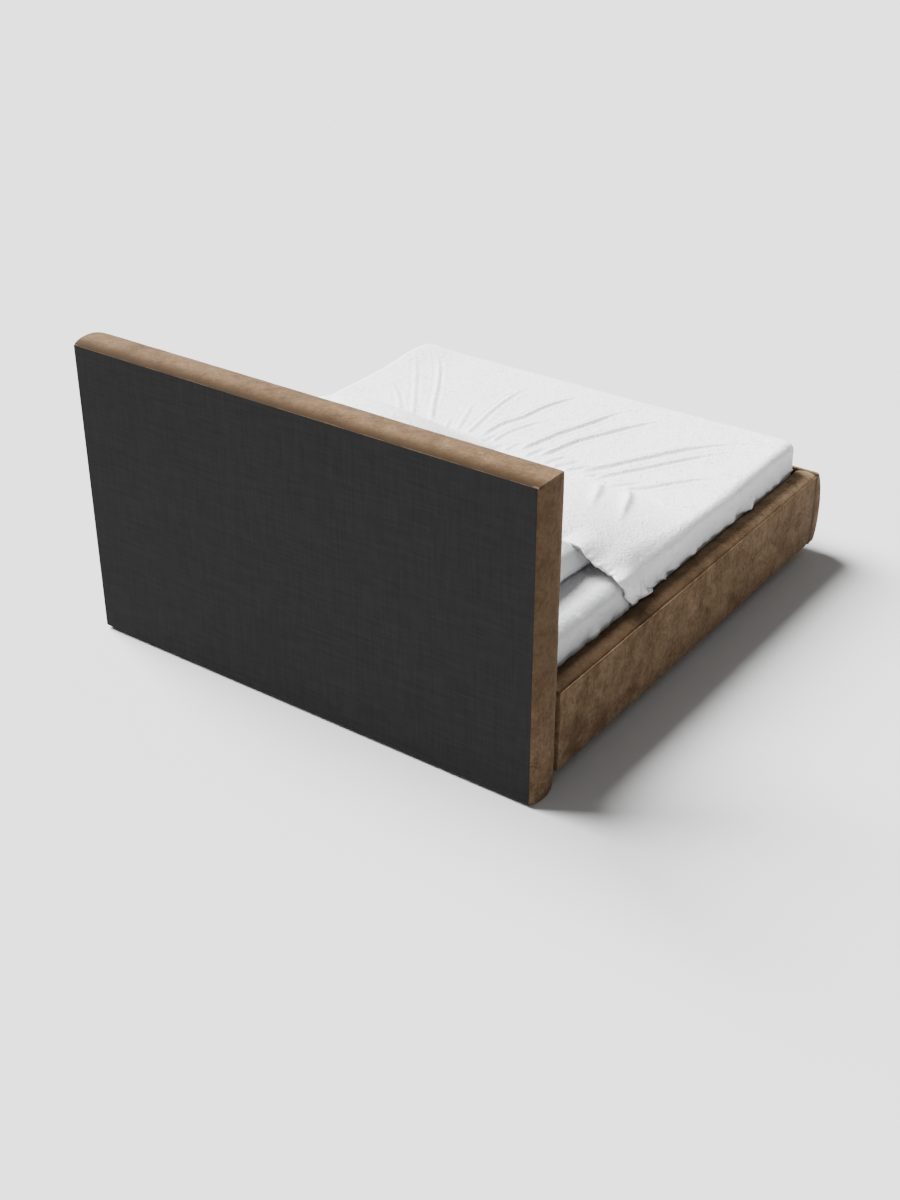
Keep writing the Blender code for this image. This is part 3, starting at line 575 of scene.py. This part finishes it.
def footNap(place, normal):
    form = footForm
    low, high = boxes["footboard_cover"]
    up = (place.z - low.z) / (high.z - low.z)
    if abs(normal.x) > 0.7:                                  # closed ends: a dark seam, then lighter pile
        atJoint = math.exp(-((high.y - place.y) / form["jointHalf"]) ** 2)
        sideTone = form["napEnd"] - form["napEndUp"] * up - form["napJoint"] * atJoint
        return sideTone if normal.x < 0 else farSideNap * sideTone
    return form["napFront"] + form["napFrontUp"] * smoothStep(up, 0.7, 0.98)


def makeFootboardCover():
    form = footForm
    low, high = boxes["footboard_cover"]
    radius = form["endRadius"]
    depth = high.y - low.y
    path = curveThrough(form["outline"], form["steps"])
    turns = [math.radians(90) * i / form["endSteps"] for i in range(form["endSteps"] + 1)]
    ends = [(radius * (1 - math.cos(t)), radius * (1 - math.sin(t))) for t in turns]
    places = [(low.x + along, drawn) for along, drawn in ends]
    places += [(high.x - along, drawn) for along, drawn in reversed(ends)]
    bm = bmesh.new()
    verts = [bm.verts.new((0, 0, 0)) for _ in path]
    edges = [bm.edges.new(pair) for pair in zip(verts, verts[1:])]

    def place(items, x, drawn):
        for v, p in zip(items, path):
            share = min(1.0, max(0.0, p.x / depth))
            v.co = (x, high.y - p.x + drawn * share, low.z + p.y - drawn * share * p.y / (high.z - low.z))

    for i, v in enumerate(verts):                # x holds each point's number until its ring is placed
        v.co.x = i
    for x, drawn in places[:-1]:
        edges, new = nextRing(bm, edges, lambda v: v.co.x)
        place(verts, x, drawn)
        verts = new
    place(verts, *places[-1])
    long = [e for e in bm.edges if abs(e.verts[0].co.x - e.verts[1].co.x) > 1.0]
    bmesh.ops.subdivide_edges(bm, edges=long, cuts=form["cuts"], use_grid_fill=True)
    for x in (low.x, high.x):
        closeEnd(bm, 0, x)
    bmesh.ops.recalc_face_normals(bm, faces=bm.faces[:])

    def swell(co, normal):
        if co.z < low.z + 0.004 or co.y > high.y - 0.002:
            return 0.0
        fromEnd = high.x - abs(co.x)
        out = form["ripple"] * wave(co.x * 3.3, co.z * 5, co.y * 5, 11)
        out += form["pucker"] * wave(co.x * 13, co.z * 11, co.y * 11, 12)
        return out * smoothStep(fromEnd, 0.0, 0.03)

    pushAlongNormals(bm, swell)
    finishPiece("footboardVelvet", bm, velvet, ["footboard_cover"],
                form["skin"], 48.0, footNap)


makeFootboardCover()
print("footboard is covered")


# Bedding

def drapePoint(flat, block):
    # Where a point of the flat cloth lies once the cloth goes over the block's shoulders.
    # Returns the place, the way that is out, and how far past the shoulder line it is.
    past, signs, radii = [], [], []
    corner = block["corner"]
    for axis in (0, 1):
        below = block["low"][axis] + corner - flat[axis]
        above = flat[axis] - block["high"][axis] + corner
        past.append(max(below, above, 0.0))
        signs.append(-1 if below > above else 1)
        radii.append(block["radiusLow"][axis] if below > above else block["radiusHigh"][axis])
    distance = math.hypot(*past)
    if distance <= 0.0:
        return Vector((flat[0], flat[1], block["top"])), Vector((0, 0, 1)), 0.0
    out = Vector((signs[0] * past[0] / distance, signs[1] * past[1] / distance, 0.0))
    radius = radii[0] * out.x ** 2 + radii[1] * out.y ** 2
    run = max(0.0, distance - corner + radius)
    turn = min(run / radius, math.pi / 2)
    reach = min(distance, corner - radius) + radius * math.sin(turn)
    fall = radius * (1 - math.cos(turn)) + max(0.0, run - radius * math.pi / 2)
    middle = Vector((flat[0] - signs[0] * past[0], flat[1] - signs[1] * past[1], block["top"]))
    spot = middle + out * reach - Vector((0, 0, fall))
    normal = (out * math.sin(turn) + Vector((0, 0, 1)) * math.cos(turn)).normalized()
    return spot, normal, run


mattressForm = {"inset": 0.0012, "edge": 0.050, "corner": 0.052}


def makeMattress():
    form = mattressForm
    low, high = boxes["mattress"]
    inset = Vector((form["inset"],) * 3)
    low, high = low + inset, high - inset
    bm = bmesh.new()
    bmesh.ops.create_cube(bm, size=1.0)
    bmesh.ops.scale(bm, vec=high - low, verts=bm.verts[:])
    bmesh.ops.translate(bm, vec=(low + high) / 2, verts=bm.verts[:])
    upright = [e for e in bm.edges if abs(e.verts[0].co.z - e.verts[1].co.z) > 0.1]
    bmesh.ops.bevel(bm, geom=upright, offset=form["corner"], segments=8, profile=0.5, affect="EDGES",
                    material=-1)
    level = [e for e in bm.edges if abs(e.verts[0].co.z - e.verts[1].co.z) < 0.001]
    bmesh.ops.bevel(bm, geom=level, offset=form["edge"], segments=8, profile=0.5, affect="EDGES",
                    material=-1)
    piece = finishPiece("mattressTicking", bm, ticking, ["mattress"], 0.0, 60.0)
    return piece


mattress = makeMattress()
print("mattress lies on the slats")

sheetForm = {
    "cell": 0.0125, "shoulder": 0.053, "corner": 0.056, "hem": 0.118, "thickness": 0.0007,
    "off": 0.0016,                   # from the mattress to the cloth's outer side
    "below": 0.0028,                 # from the CAD sheet's top down to the cloth's own level
    "rest": 0.0004, "slack": 0.0014, "wrinkle": 0.0060,
    "hemWave": 0.024, "hemGather": 0.0030, "hemScallop": 0.026, "hemWrinkle": 0.0050,
}


def makeFittedSheet():
    form = sheetForm
    low, high = boxes["mattress"]
    off = form["off"]
    block = {"low": (low.x - off, low.y - off), "high": (high.x + off, high.y + off),
             "top": boxes["fitted_sheet"][1].z - form["below"], "corner": form["corner"],
             "radiusLow": (form["shoulder"],) * 2, "radiusHigh": (form["shoulder"],) * 2}
    over = form["shoulder"] * (math.pi / 2 - 1) + form["hem"]
    sizeX = high.x - low.x + 2 * (off + over)
    sizeY = high.y - low.y + 2 * (off + over)
    middle = (low + high) / 2
    bm = flatCloth((middle.x - sizeX / 2, middle.y - sizeY / 2), (middle.x + sizeX / 2, middle.y + sizeY / 2),
                   round(sizeX / form["cell"]), round(sizeY / form["cell"]))
    for v in bm.verts:
        spot, normal, run = drapePoint(v.co, block)
        toHem = smoothStep(run, over * 0.45, over)
        gathers = wave(spot.x * 40, spot.y * 40, spot.z * 6, 21) + 0.6 * wave(spot.x * 90, spot.y * 90, 0, 22)
        slack = wave(spot.x * 7 + spot.z * 14, spot.y * 7, spot.z * 9, 23)
        across = wave((spot.x + spot.y) * 6, (spot.x - spot.y) * 22, spot.z * 20, 24)
        bare = smoothStep(spot.y, 0.26, 0.38)                     # flat where the duvet lies on it
        out = form["hemGather"] * toHem * (gathers + 0.4) + form["slack"] * max(0.0, slack)
        if run > 0:
            scallop = softAbs(wave(spot.x * 16, spot.y * 16, 0, 43))
            out += form["wrinkle"] * abs(across) + form["hemScallop"] * toHem * scallop
            out += form["hemWrinkle"] * toHem * wave(spot.x * 9, spot.y * 34, spot.z * 26, 45)
        v.co = spot + normal * (form["rest"] + bare * max(out, 0.0))
        v.co.z += bare * toHem ** 2 * form["hemWave"] * (wave(spot.x * 15, spot.y * 15, 0, 25) + 0.25)
    piece = finishPiece("fittedSheet", bm, sheetCotton, ["fitted_sheet"],
                        form["thickness"], 70.0)


makeFittedSheet()
print("fitted sheet is on")

duvetForm = {
    "cellX": 0.0050, "cellY": 0.0088, "thickness": 0.0050, "hemRoll": 0.005,
    "level": 0.0118, "hemRoom": 0.003,                # above the sheet, and the hem above the CAD hem
    "shoulderNear": 0.036, "shoulderHead": 0.080, "shoulderFar": 0.055, "shoulderFoot": 0.064,
    "corner": 0.098, "cornerFoot": 0.074,
    "farReach": 0.0055,              # past the CAD solid's side, where the cover bellies over the rail
    "headEdge": 0.4405, "creaseNear": -0.1995, "creaseFar": -0.2800,
    "riseNear": 0.66, "riseFar": 0.31, "moundNear": 0.178, "moundFar": 0.190,
    "nearHalf": 0.365, "nearSlopeHalf": 0.485, "nearSlopePower": 1.2, "farHalf": 0.440, "bridge": 0.085,
    "swell": 0.0045, "roll": 0.0035, "dent": 0.0016, "crease": 0.0014, "cornerPuff": 0.018,
    "hemBand": 0.085, "hemWave": 0.012, "gather": 0.0056, "scallop": 0.030, "scallopLost": 0.022,
    "turnIn": 0.030,                 # the far hem turns in over the rail
    "crimpBand": 0.050, "crimp": 0.0030, "crimpCorner": 0.0035, "crimpAlong": 0.006,
    "edgeFade": 0.30, "edgeDrop": 0.20, "edgePull": 0.5,     # how far the head edge's path is felt
    "ridgeFar": 0.0058, "ridgeNear": 0.0096,          # width of a ridge on its two sides
    "ridgeTall": 0.70, "besideAway": 0.031, "besideWide": 0.0060, "besideTall": 0.26, "hollow": 0.22,
}

# The head edge near the corner, from the pillow over the mattress's shoulder down to the rail
headEdgePath = (
    (-0.674, 0.4405, 0.622), (-0.749, 0.4405, 0.614), (-0.807, 0.4405, 0.567), (-0.835, 0.4280, 0.553),
    (-0.872, 0.4230, 0.534), (-0.913, 0.4390, 0.523), (-0.924, 0.4105, 0.484), (-0.925, 0.3960, 0.459),
    (-0.925, 0.3940, 0.440), (-0.921, 0.3335, 0.383))

# Ridges of the cover in bed millimetres, from where they start, with their height; the two folds
# that run up the near pillow also have how much broader they are
ridges = (
    (((449, -294), (565, -478), (684, -672), (792, -825), (915, -959)), 13.8),
    (((547, -296), (672, -477), (837, -711), (980, -890)), 9.7),
    (((625, -314), (748, -453), (878, -568)), 9),
    (((311, -293), (367, -439), (416, -568)), 7.3),
    (((254, -278), (280, -415), (310, -599), (321, -767), (313, -827)), 10.5),
    (((195, -292), (192, -450), (155, -569), (141, -699), (96, -851), (51, -912)), 13.8),
    (((124, -274), (121, -387), (91, -515), (53, -599)), 10.5),
    (((81, -244), (77, -288), (53, -311)), 6.5),
    (((-16, -266), (-39, -404), (-67, -535), (-111, -679), (-146, -828), (-193, -919)), 15.5),
    (((-110, -267), (-135, -384), (-161, -498), (-211, -615), (-264, -732), (-320, -847),
      (-353, -896)), 15.5),
    (((-315, -237), (-375, -342), (-431, -446), (-488, -549), (-546, -654), (-613, -744), (-684, -830),
      (-787, -922)), 17),
    (((-396, -240), (-446, -321), (-505, -418), (-563, -518), (-623, -619), (-686, -715),
      (-789, -848)), 14.6),
    (((-536, -215), (-607, -287), (-670, -375), (-734, -462), (-828, -550)), 13),
    (((-446, -212), (-505, -95), (-570, 45), (-635, 190)), 14.5, 2.2),
    (((-569, -222), (-630, -110), (-690, 30), (-745, 165)), 17.5, 2.2),
    (((-673, -201), (-765, -215), (-812, -228), (-867, -267)), 9),
    (((-717, -201), (-775, -196), (-888, -175)), 8.1),
    (((-800, -945), (-870, -955), (-930, -985), (-990, -1010)), 8),
    (((-270, -217), (-319, -231), (-353, -235), (-403, -229), (-443, -218), (-481, -223), (-518, -218),
      (-568, -225)), 7.3),
    (((352, -258), (378, -318), (398, -372)), 8.5),
    (((158, -244), (157, -304), (149, -362)), 8.5),
    (((36, -240), (30, -300), (16, -356)), 9),
    (((-62, -240), (-76, -300), (-86, -370)), 9.5),
    (((-156, -232), (-178, -290), (-202, -352)), 10.5),
    (((-206, -226), (-236, -286), (-268, -346)), 11.5),
    (((-262, -224), (-300, -284), (-338, -344)), 11.5),
    (((-352, -220), (-392, -276), (-424, -322)), 10),
    (((-478, -206), (-524, -262), (-566, -314)), 9.5),
)


def pillowPlace(label):
    low, high = boxes["pillow_" + label]
    return (low + high) / 2, high - low


def moundShape(x, middle, half, power):
    across = min(1.0, abs(x - middle) / half)
    return (1 - across ** 2.2) ** power


def nearMoundShape(x, middle):
    # The side towards the near edge falls away gently, with no valley before the shoulder
    form = duvetForm
    if x < middle:
        return moundShape(x, middle, form["nearSlopeHalf"], form["nearSlopePower"])
    return moundShape(x, middle, form["nearHalf"], 0.78)


def moundHeight(x, y):
    # How far the cover stands above the sheet over the two pillows
    form = duvetForm
    near = pillowPlace("near")[0].x
    far = pillowPlace("far")[0].x
    total = 0.0
    shapes = {"Near": nearMoundShape(x, near), "Far": moundShape(x, far, form["farHalf"], 0.60)}
    for side, shape in shapes.items():
        t = min(1.0, max(0.0, (y - form["crease" + side]) / form["rise" + side]))
        slope = t * (1.28 - 0.28 * t * t) * t / (t + 0.03) * 1.03
        total += (shape * slope * form["mound" + side]) ** 4
    between = math.exp(-((x - (near + far) / 2) / 0.16) ** 2)
    t = min(1.0, max(0.0, (y - form["creaseNear"]) / form["riseNear"]))
    total += (form["bridge"] * between * t) ** 4
    return total ** 0.25


def ridgeMap(x0, y0, stepX, stepY):
    # Height that the ridges give each crossing of the flat cloth's grid
    form = duvetForm
    reach = 4.4 * form["ridgeNear"]
    total = {}
    for points, height, *broad in ridges:
        path = curveThrough([(x / 1000, y / 1000, 0.0) for x, y in points], 5)
        count = len(path) - 1
        nearest = {}
        for k, (a, b) in enumerate(zip(path, path[1:])):
            along = b - a
            for i in range(int((min(a.x, b.x) - reach - x0) / stepX),
                           int((max(a.x, b.x) + reach - x0) / stepX) + 2):
                for j in range(int((min(a.y, b.y) - reach - y0) / stepY),
                               int((max(a.y, b.y) + reach - y0) / stepY) + 2):
                    here = Vector((x0 + i * stepX, y0 + j * stepY, 0.0)) - a
                    t = min(1.0, max(0.0, here.dot(along) / along.length_squared))
                    away = (here - along * t).length
                    if away < nearest.get((i, j), (reach,))[0]:
                        nearest[i, j] = (away, along.cross(here).z, (k + t) / count)
        for spot, (away, side, at) in nearest.items():
            width = (form["ridgeFar"] if side > 0 else form["ridgeNear"]) * (1.15 - 0.45 * at)
            if broad:
                width *= broad[0]
            crest = math.exp(-(away / width) ** 1.7)
            if broad:
                fade = smoothStep(at, 0.0, 0.16) * (1 - smoothStep(at, 0.40, 1.0))
                total[spot] = total.get(spot, 0.0) + height / 1000 * fade * crest
                continue
            fade = smoothStep(at, 0.0, 0.10) * (1 - smoothStep(at, 0.60, 1.0))
            beside = math.exp(-((away - form["besideAway"]) / form["besideWide"]) ** 2)
            shape = crest + form["besideTall"] * beside * smoothStep(at, 0.1, 0.3)
            if side <= 0:
                past = (away - 2.1 * form["ridgeNear"]) / form["ridgeNear"]
                shape -= form["hollow"] * math.exp(-past ** 2)
            total[spot] = total.get(spot, 0.0) + form["ridgeTall"] * height / 1000 * fade * shape
    return total


def coverHeight(x, y):
    # Height of the cover above its flat level, at a place of the bed
    form = duvetForm
    height = moundHeight(x, y)
    height += form["roll"] * wave(x * 2.4, y * 2.4, 0, 31) + form["dent"] * wave(x * 8, y * 8, 0, 32)
    height += form["crease"] * abs(wave((x + y) * 16, (x - y) * 7, 0, 33))
    farCorner = math.exp(-(((x - 0.96) / 0.12) ** 2 + ((y + 0.90) / 0.16) ** 2))
    return height + form["cornerPuff"] * farCorner


def makeDuvet():
    form = duvetForm
    low, high = boxes["duvet"]
    top = boxes["fitted_sheet"][1].z + form["level"]
    near, far = low.x, high.x + form["farReach"]
    block = {"low": (near, low.y), "high": (far, 9.0), "top": top, "corner": form["corner"],
             "radiusLow": (form["shoulderNear"], form["shoulderFoot"]),
             "radiusHigh": (form["shoulderFar"], form["shoulderFar"])}
    hemZ = low.z + form["hemRoom"]

    def over(radius):
        return radius * (math.pi / 2 - 1) + top - hemZ

    edge = form["headEdge"]
    x0, x1 = near - over(form["shoulderNear"]), far + over(form["shoulderFar"])
    y0, y1 = low.y - over(form["shoulderFoot"]), edge + form["hemRoll"] * 2.4
    countX, countY = round((x1 - x0) / form["cellX"]), round((y1 - y0) / form["cellY"])
    bumps = ridgeMap(x0, y0, (x1 - x0) / countX, (y1 - y0) / countY)
    bm = flatCloth((x0, y0), (x1, y1), countX, countY)

    def hemMoves(spot):
        # How far the side's cloth stands out, and how far its hem is drawn up
        out = form["swell"] * wave(spot.x * 5, spot.y * 5, spot.z * 7, 34)
        hem = smoothStep(spot.z, hemZ + form["hemBand"], hemZ)
        ripples = wave(spot.x * 26, spot.y * 26, spot.z * 5, 35) + 0.3 * wave(spot.x * 60, spot.y * 60, 0, 36)
        out += form["gather"] * hem * ripples
        atCorner = smoothStep(-spot.x, 0.80, 0.88) * smoothStep(-spot.y, 0.86, 0.96)
        scallop = form["scallop"] - form["scallopLost"] * atCorner
        out += scallop * hem * softAbs(wave(spot.x * 13, spot.y * 13, 0, 42))
        if spot.x > 0.8:
            out -= form["turnIn"] * smoothStep(spot.z, hemZ + 0.06, hemZ)
        drawn = 0.40 + 0.6 * wave(spot.x * 12, spot.y * 12, 0, 37)
        drawn += 0.8 * softAbs(wave(spot.x * 24, spot.y * 24, 0, 38))
        return out, hem ** 2 * form["hemWave"] * drawn

    def laid(x, y):
        # The cover's outer side over the bed, without its small ripples at the head edge
        soft = smoothStep(y, -0.25, edge - 0.05)                   # the near shoulder softens to the head
        block["radiusLow"] = (form["shoulderNear"] + soft * (form["shoulderHead"] - form["shoulderNear"]),
                              form["shoulderFoot"])
        block["corner"] = form["cornerFoot"] + soft * (form["corner"] - form["cornerFoot"])
        spot, normal, run = drapePoint((x, y), block)
        spot.z = max(spot.z, hemZ)
        lift = coverHeight(min(max(spot.x, near + 0.03), far - 0.03), spot.y)
        lift += bumps.get((round((x - x0) / (x1 - x0) * countX), round((y - y0) / (y1 - y0) * countY)), 0.0)
        out, up = hemMoves(spot) if run > 0 else (0.0, 0.0)
        lift *= 1 - smoothStep(run, 0.03, 0.15)
        return spot + Vector((normal.x * out, normal.y * out, lift + up)), normal

    # The near end of the head edge follows its path: how far each column moves to reach it
    path = curveThrough(headEdgePath, 8)
    lengths = [0.0]
    for a, b in zip(path, path[1:]):
        lengths.append(lengths[-1] + (b - a).length)
    start = headEdgePath[0][0]
    reached = start + form["edgeFade"]
    moves = {}

    def edgeMove(x):
        key = round(x, 5)
        if key not in moves:
            held = min(x, start)
            share = (start - held) / (start - x0) * lengths[-1]
            k = max(i for i, length in enumerate(lengths) if length <= share)
            k = min(k, len(path) - 2)
            goal = path[k].lerp(path[k + 1], (share - lengths[k]) / (lengths[k + 1] - lengths[k]))
            moves[key] = (goal - laid(held, edge)[0]) * (1 - smoothStep(x, start, reached))
        return moves[key]

    for v in bm.verts:
        x = v.co.x
        rolled = max(0.0, v.co.y - edge)                          # the hem rolled under at the head
        y = min(v.co.y, edge)
        fromHead = edge - y
        place, normal = laid(x, y)
        if x < reached and fromHead < form["edgePull"]:
            move = edgeMove(x)
            place += Vector((move.x, 0, move.z)) * smoothStep(fromHead, form["edgeDrop"], 0.0)
            place.y += move.y * smoothStep(fromHead, form["edgePull"], 0.0)
        crimped = smoothStep(fromHead, form["crimpBand"], 0.0)
        ripple = wave(x * 44, 0, 0, 39) + 0.8 * wave(x * 80, 0, 0, 40)
        height = form["crimp"] + form["crimpCorner"] * smoothStep(-x, 0.74, 0.82)
        place += normal * height * crimped * ripple
        place.y += form["crimpAlong"] * crimped * wave(x * 33, 0, 0, 41)
        if rolled > 0.0:
            turn = rolled / form["hemRoll"]
            place += Vector((0, 1, 0)) * form["hemRoll"] * math.sin(turn)
            place -= normal * form["hemRoll"] * (1 - math.cos(turn))
        v.co = place
    piece = finishPiece("duvetCover", bm, coverCotton, ["duvet"], form["thickness"], 80.0)
    return piece


duvet = makeDuvet()
print("duvet is laid")

coverTree = BVHTree.FromPolygons([v.co for v in duvet.data.vertices],
                                 [p.vertices for p in duvet.data.polygons])

pillowForm = {
    "cells": 64, "draw": 0.045, "round": 0.030, "uneven": 0.014,
    "flatPower": 2.4, "edgePower": 0.40, "under": 0.055, "seam": 0.010,
    "seamLift": 0.044,               # the seam stands off the sheet by this at the sides
    "rest": 0.0008, "crownRoom": 0.012, "pucker": 0.006, "sag": 0.006, "dent": 0.0025,
    "edgeRoom": 0.006, "freeRoom": 0.012,            # at the cover's head edge
    "frames": 20, "quality": 6, "mass": 0.2, "pressure": 4.0,
    "tension": 12.0, "compression": 8.0, "shear": 5.0, "bending": 0.15,
    "slack": 0.045,                  # the case has this share of cloth to spare
    "cap": 0.016,                    # farthest that the simulation may move a point
}


def underCover(x, y):
    # Highest a pillow can stand: pressed down by the cover, and free to rise again past its edge
    edge = duvetForm["headEdge"] - pillowForm["edgeRoom"]
    hit = coverTree.ray_cast(Vector((x, min(y, edge), 2.0)), Vector((0, 0, -1)))[0]
    if hit is None:
        return 9.0
    free = 0.9 * max(0.0, y - edge - pillowForm["freeRoom"])
    return hit.z - 1.25 * duvetForm["thickness"] + free


def pointLayer(bm, cells):
    # One side of a pillow's case, flat, as rows of points
    steps = [2 * n / cells - 1 for n in range(cells + 1)]
    return [[bm.verts.new((x, y, 0)) for x in steps] for y in steps]


def aroundRim(rows):
    back = rows[:0:-1]
    return rows[0][:-1] + [row[-1] for row in rows[:-1]] + rows[-1][:0:-1] + [row[0] for row in back]


def pillowShell(bm, cells):
    # Two sides sewn along their rims, in a fixed order, because the simulation's result hangs on
    # the order of points and faces. Gives the upper side's points
    low, high = pointLayer(bm, cells), pointLayer(bm, cells)
    for rows, turn in ((low, -1), (high, 1)):
        for row, following in zip(rows, rows[1:]):
            for n in range(cells):
                bm.faces.new((row[n], row[n + 1], following[n + 1], following[n])[::turn])
    lowRim, highRim = aroundRim(low), aroundRim(high)
    for n, point in enumerate(lowRim):
        after = (n + 1) % len(lowRim)
        bm.faces.new((point, lowRim[after], highRim[after], highRim[n]))
    return {v for row in high for v in row}


def plump(piece, base):
    # The case as simulated cloth under pressure: it swells over its filling and wrinkles at the seam
    form = pillowForm
    before = [v.co.copy() for v in piece.data.vertices]
    cloth = piece.modifiers.new("Cloth", "CLOTH")
    settings = cloth.settings
    settings.quality = form["quality"]
    settings.mass = form["mass"]
    settings.tension_stiffness = form["tension"]
    settings.compression_stiffness = form["compression"]
    settings.shear_stiffness = form["shear"]
    settings.bending_stiffness = form["bending"]
    settings.use_pressure = True
    settings.uniform_pressure_force = form["pressure"]
    settings.shrink_min = -form["slack"]
    settings.effector_weights.gravity = 0.0
    cloth.point_cache.frame_start = 1
    cloth.point_cache.frame_end = form["frames"]
    scene = bpy.context.scene
    for number in range(1, form["frames"] + 1):
        scene.frame_set(number)
        bpy.context.view_layer.update()
    after = [v.co.copy() for v in piece.evaluated_get(bpy.context.evaluated_depsgraph_get()).data.vertices]
    piece.modifiers.remove(cloth)
    scene.frame_set(1)
    drift = sum((b - a for a, b in zip(before, after)), Vector()) / len(before)
    for v, a, b in zip(piece.data.vertices, before, after):
        move = b - a - drift
        if move.length > form["cap"]:
            move *= form["cap"] / move.length
        v.co = a + move
        v.co.z = max(base, min(v.co.z, underCover(v.co.x, v.co.y)))
    piece.data.update()


def makePillow(label, seed):
    form = pillowForm
    middle, size = pillowPlace(label)
    base = boxes["fitted_sheet"][1].z + form["rest"]
    bm = bmesh.new()
    upper = pillowShell(bm, form["cells"])
    for v in bm.verts:
        across, along = v.co.x, v.co.y
        full = max(0.0, 1 - abs(across) ** form["flatPower"]) * max(0.0, 1 - abs(along) ** form["flatPower"])
        full = full ** form["edgePower"]
        drawX = 1 - form["draw"] * (1 - along * along) - form["round"] * along ** 8
        drawY = 1 - form["draw"] * (1 - across * across) - form["round"] * across ** 8
        unevenX = form["uneven"] * wave(0, along * 2.1, 0, seed + 4)
        unevenY = form["uneven"] * wave(across * 2.1, 0, 0, seed + 5)
        x = middle.x + across * (drawX * size.x / 2 + unevenX)
        y = middle.y + along * (drawY * size.y / 2 + unevenY)
        puckers = wave(x * 24, y * 24, 0, seed) + 0.6 * wave(x * 50, y * 50, 0, seed + 1)
        pucker = form["pucker"] * (1 - full) * puckers
        sag = form["sag"] * wave(x * 5, y * 5, 0, seed + 2) + form["dent"] * wave(x * 14, y * 14, 0, seed + 3)
        raised = 0.15 + 0.85 * smoothStep(y, 0.33, 0.56) if label == "near" else 0.6
        seamZ = base + form["seam"] + form["seamLift"] * raised * max(abs(across), abs(along)) ** 6
        if v in upper:
            z = min(seamZ + full * (size.z - form["crownRoom"] + sag) + pucker, underCover(x, y))
        else:
            z = seamZ - form["under"] * full ** 0.6 + 0.3 * pucker
        v.co = (x, y, max(z, base))
    piece = finishPiece("pillow_" + label + "_case", bm, sheetCotton, ["pillow_" + label],
                        0.0, 80.0)
    plump(piece, base)
    smooth = piece.modifiers.new("Smooth", "SUBSURF")
    smooth.levels = smooth.render_levels = 1


makePillow("near", 51)
makePillow("far", 57)
print("pillows are in place")


# The frame's own pieces keep their shape and get their real finish
for item in frame["record"]["subparts"]:
    look = frameLooks.get(item["material_slot"])
    node = frame["nodes"].get(item["node"])
    if look and node:
        node.data.materials.clear()
        node.data.materials.append(look)
print("frame pieces are finished")


# Studio

studio = {
    "floor": "#C4C4C4", "floorSize": 30.0,            # half its width in metres
    "world": 0.31, "sun": 19.0, "softness": 40,       # degrees
    "from": (0.92, 0.04, 1.0),
}


def addStudio():
    bm = bmesh.new()
    bmesh.ops.create_grid(bm, x_segments=1, y_segments=1, size=studio["floorSize"])
    mesh = bpy.data.meshes.new("floor")
    bm.to_mesh(mesh)
    bm.free()
    floor = bpy.data.objects.new("floor", mesh)
    material, _, shader, _ = newMaterial("palePaintedFloor")
    shader.inputs["Base Color"].default_value = linear(studio["floor"])
    shader.inputs["Roughness"].default_value = 0.95
    shader.inputs["Specular IOR Level"].default_value = 0.0
    mesh.materials.append(material)
    bpy.context.scene.collection.objects.link(floor)
    world = bpy.data.worlds.new("studio")
    bpy.context.scene.world = world
    world.use_nodes = True
    sky = world.node_tree.nodes["Background"]
    sky.inputs[0].default_value = (1, 1, 1, 1)
    sky.inputs[1].default_value = studio["world"]
    light = bpy.data.lights.new("softSun", "SUN")
    light.energy = studio["sun"]
    light.angle = math.radians(studio["softness"])
    sun = bpy.data.objects.new("softSun", light)
    sun.rotation_euler = Vector(studio["from"]).to_track_quat("Z", "Y").to_euler()
    bpy.context.scene.collection.objects.link(sun)


addStudio()
print("studio is lit")
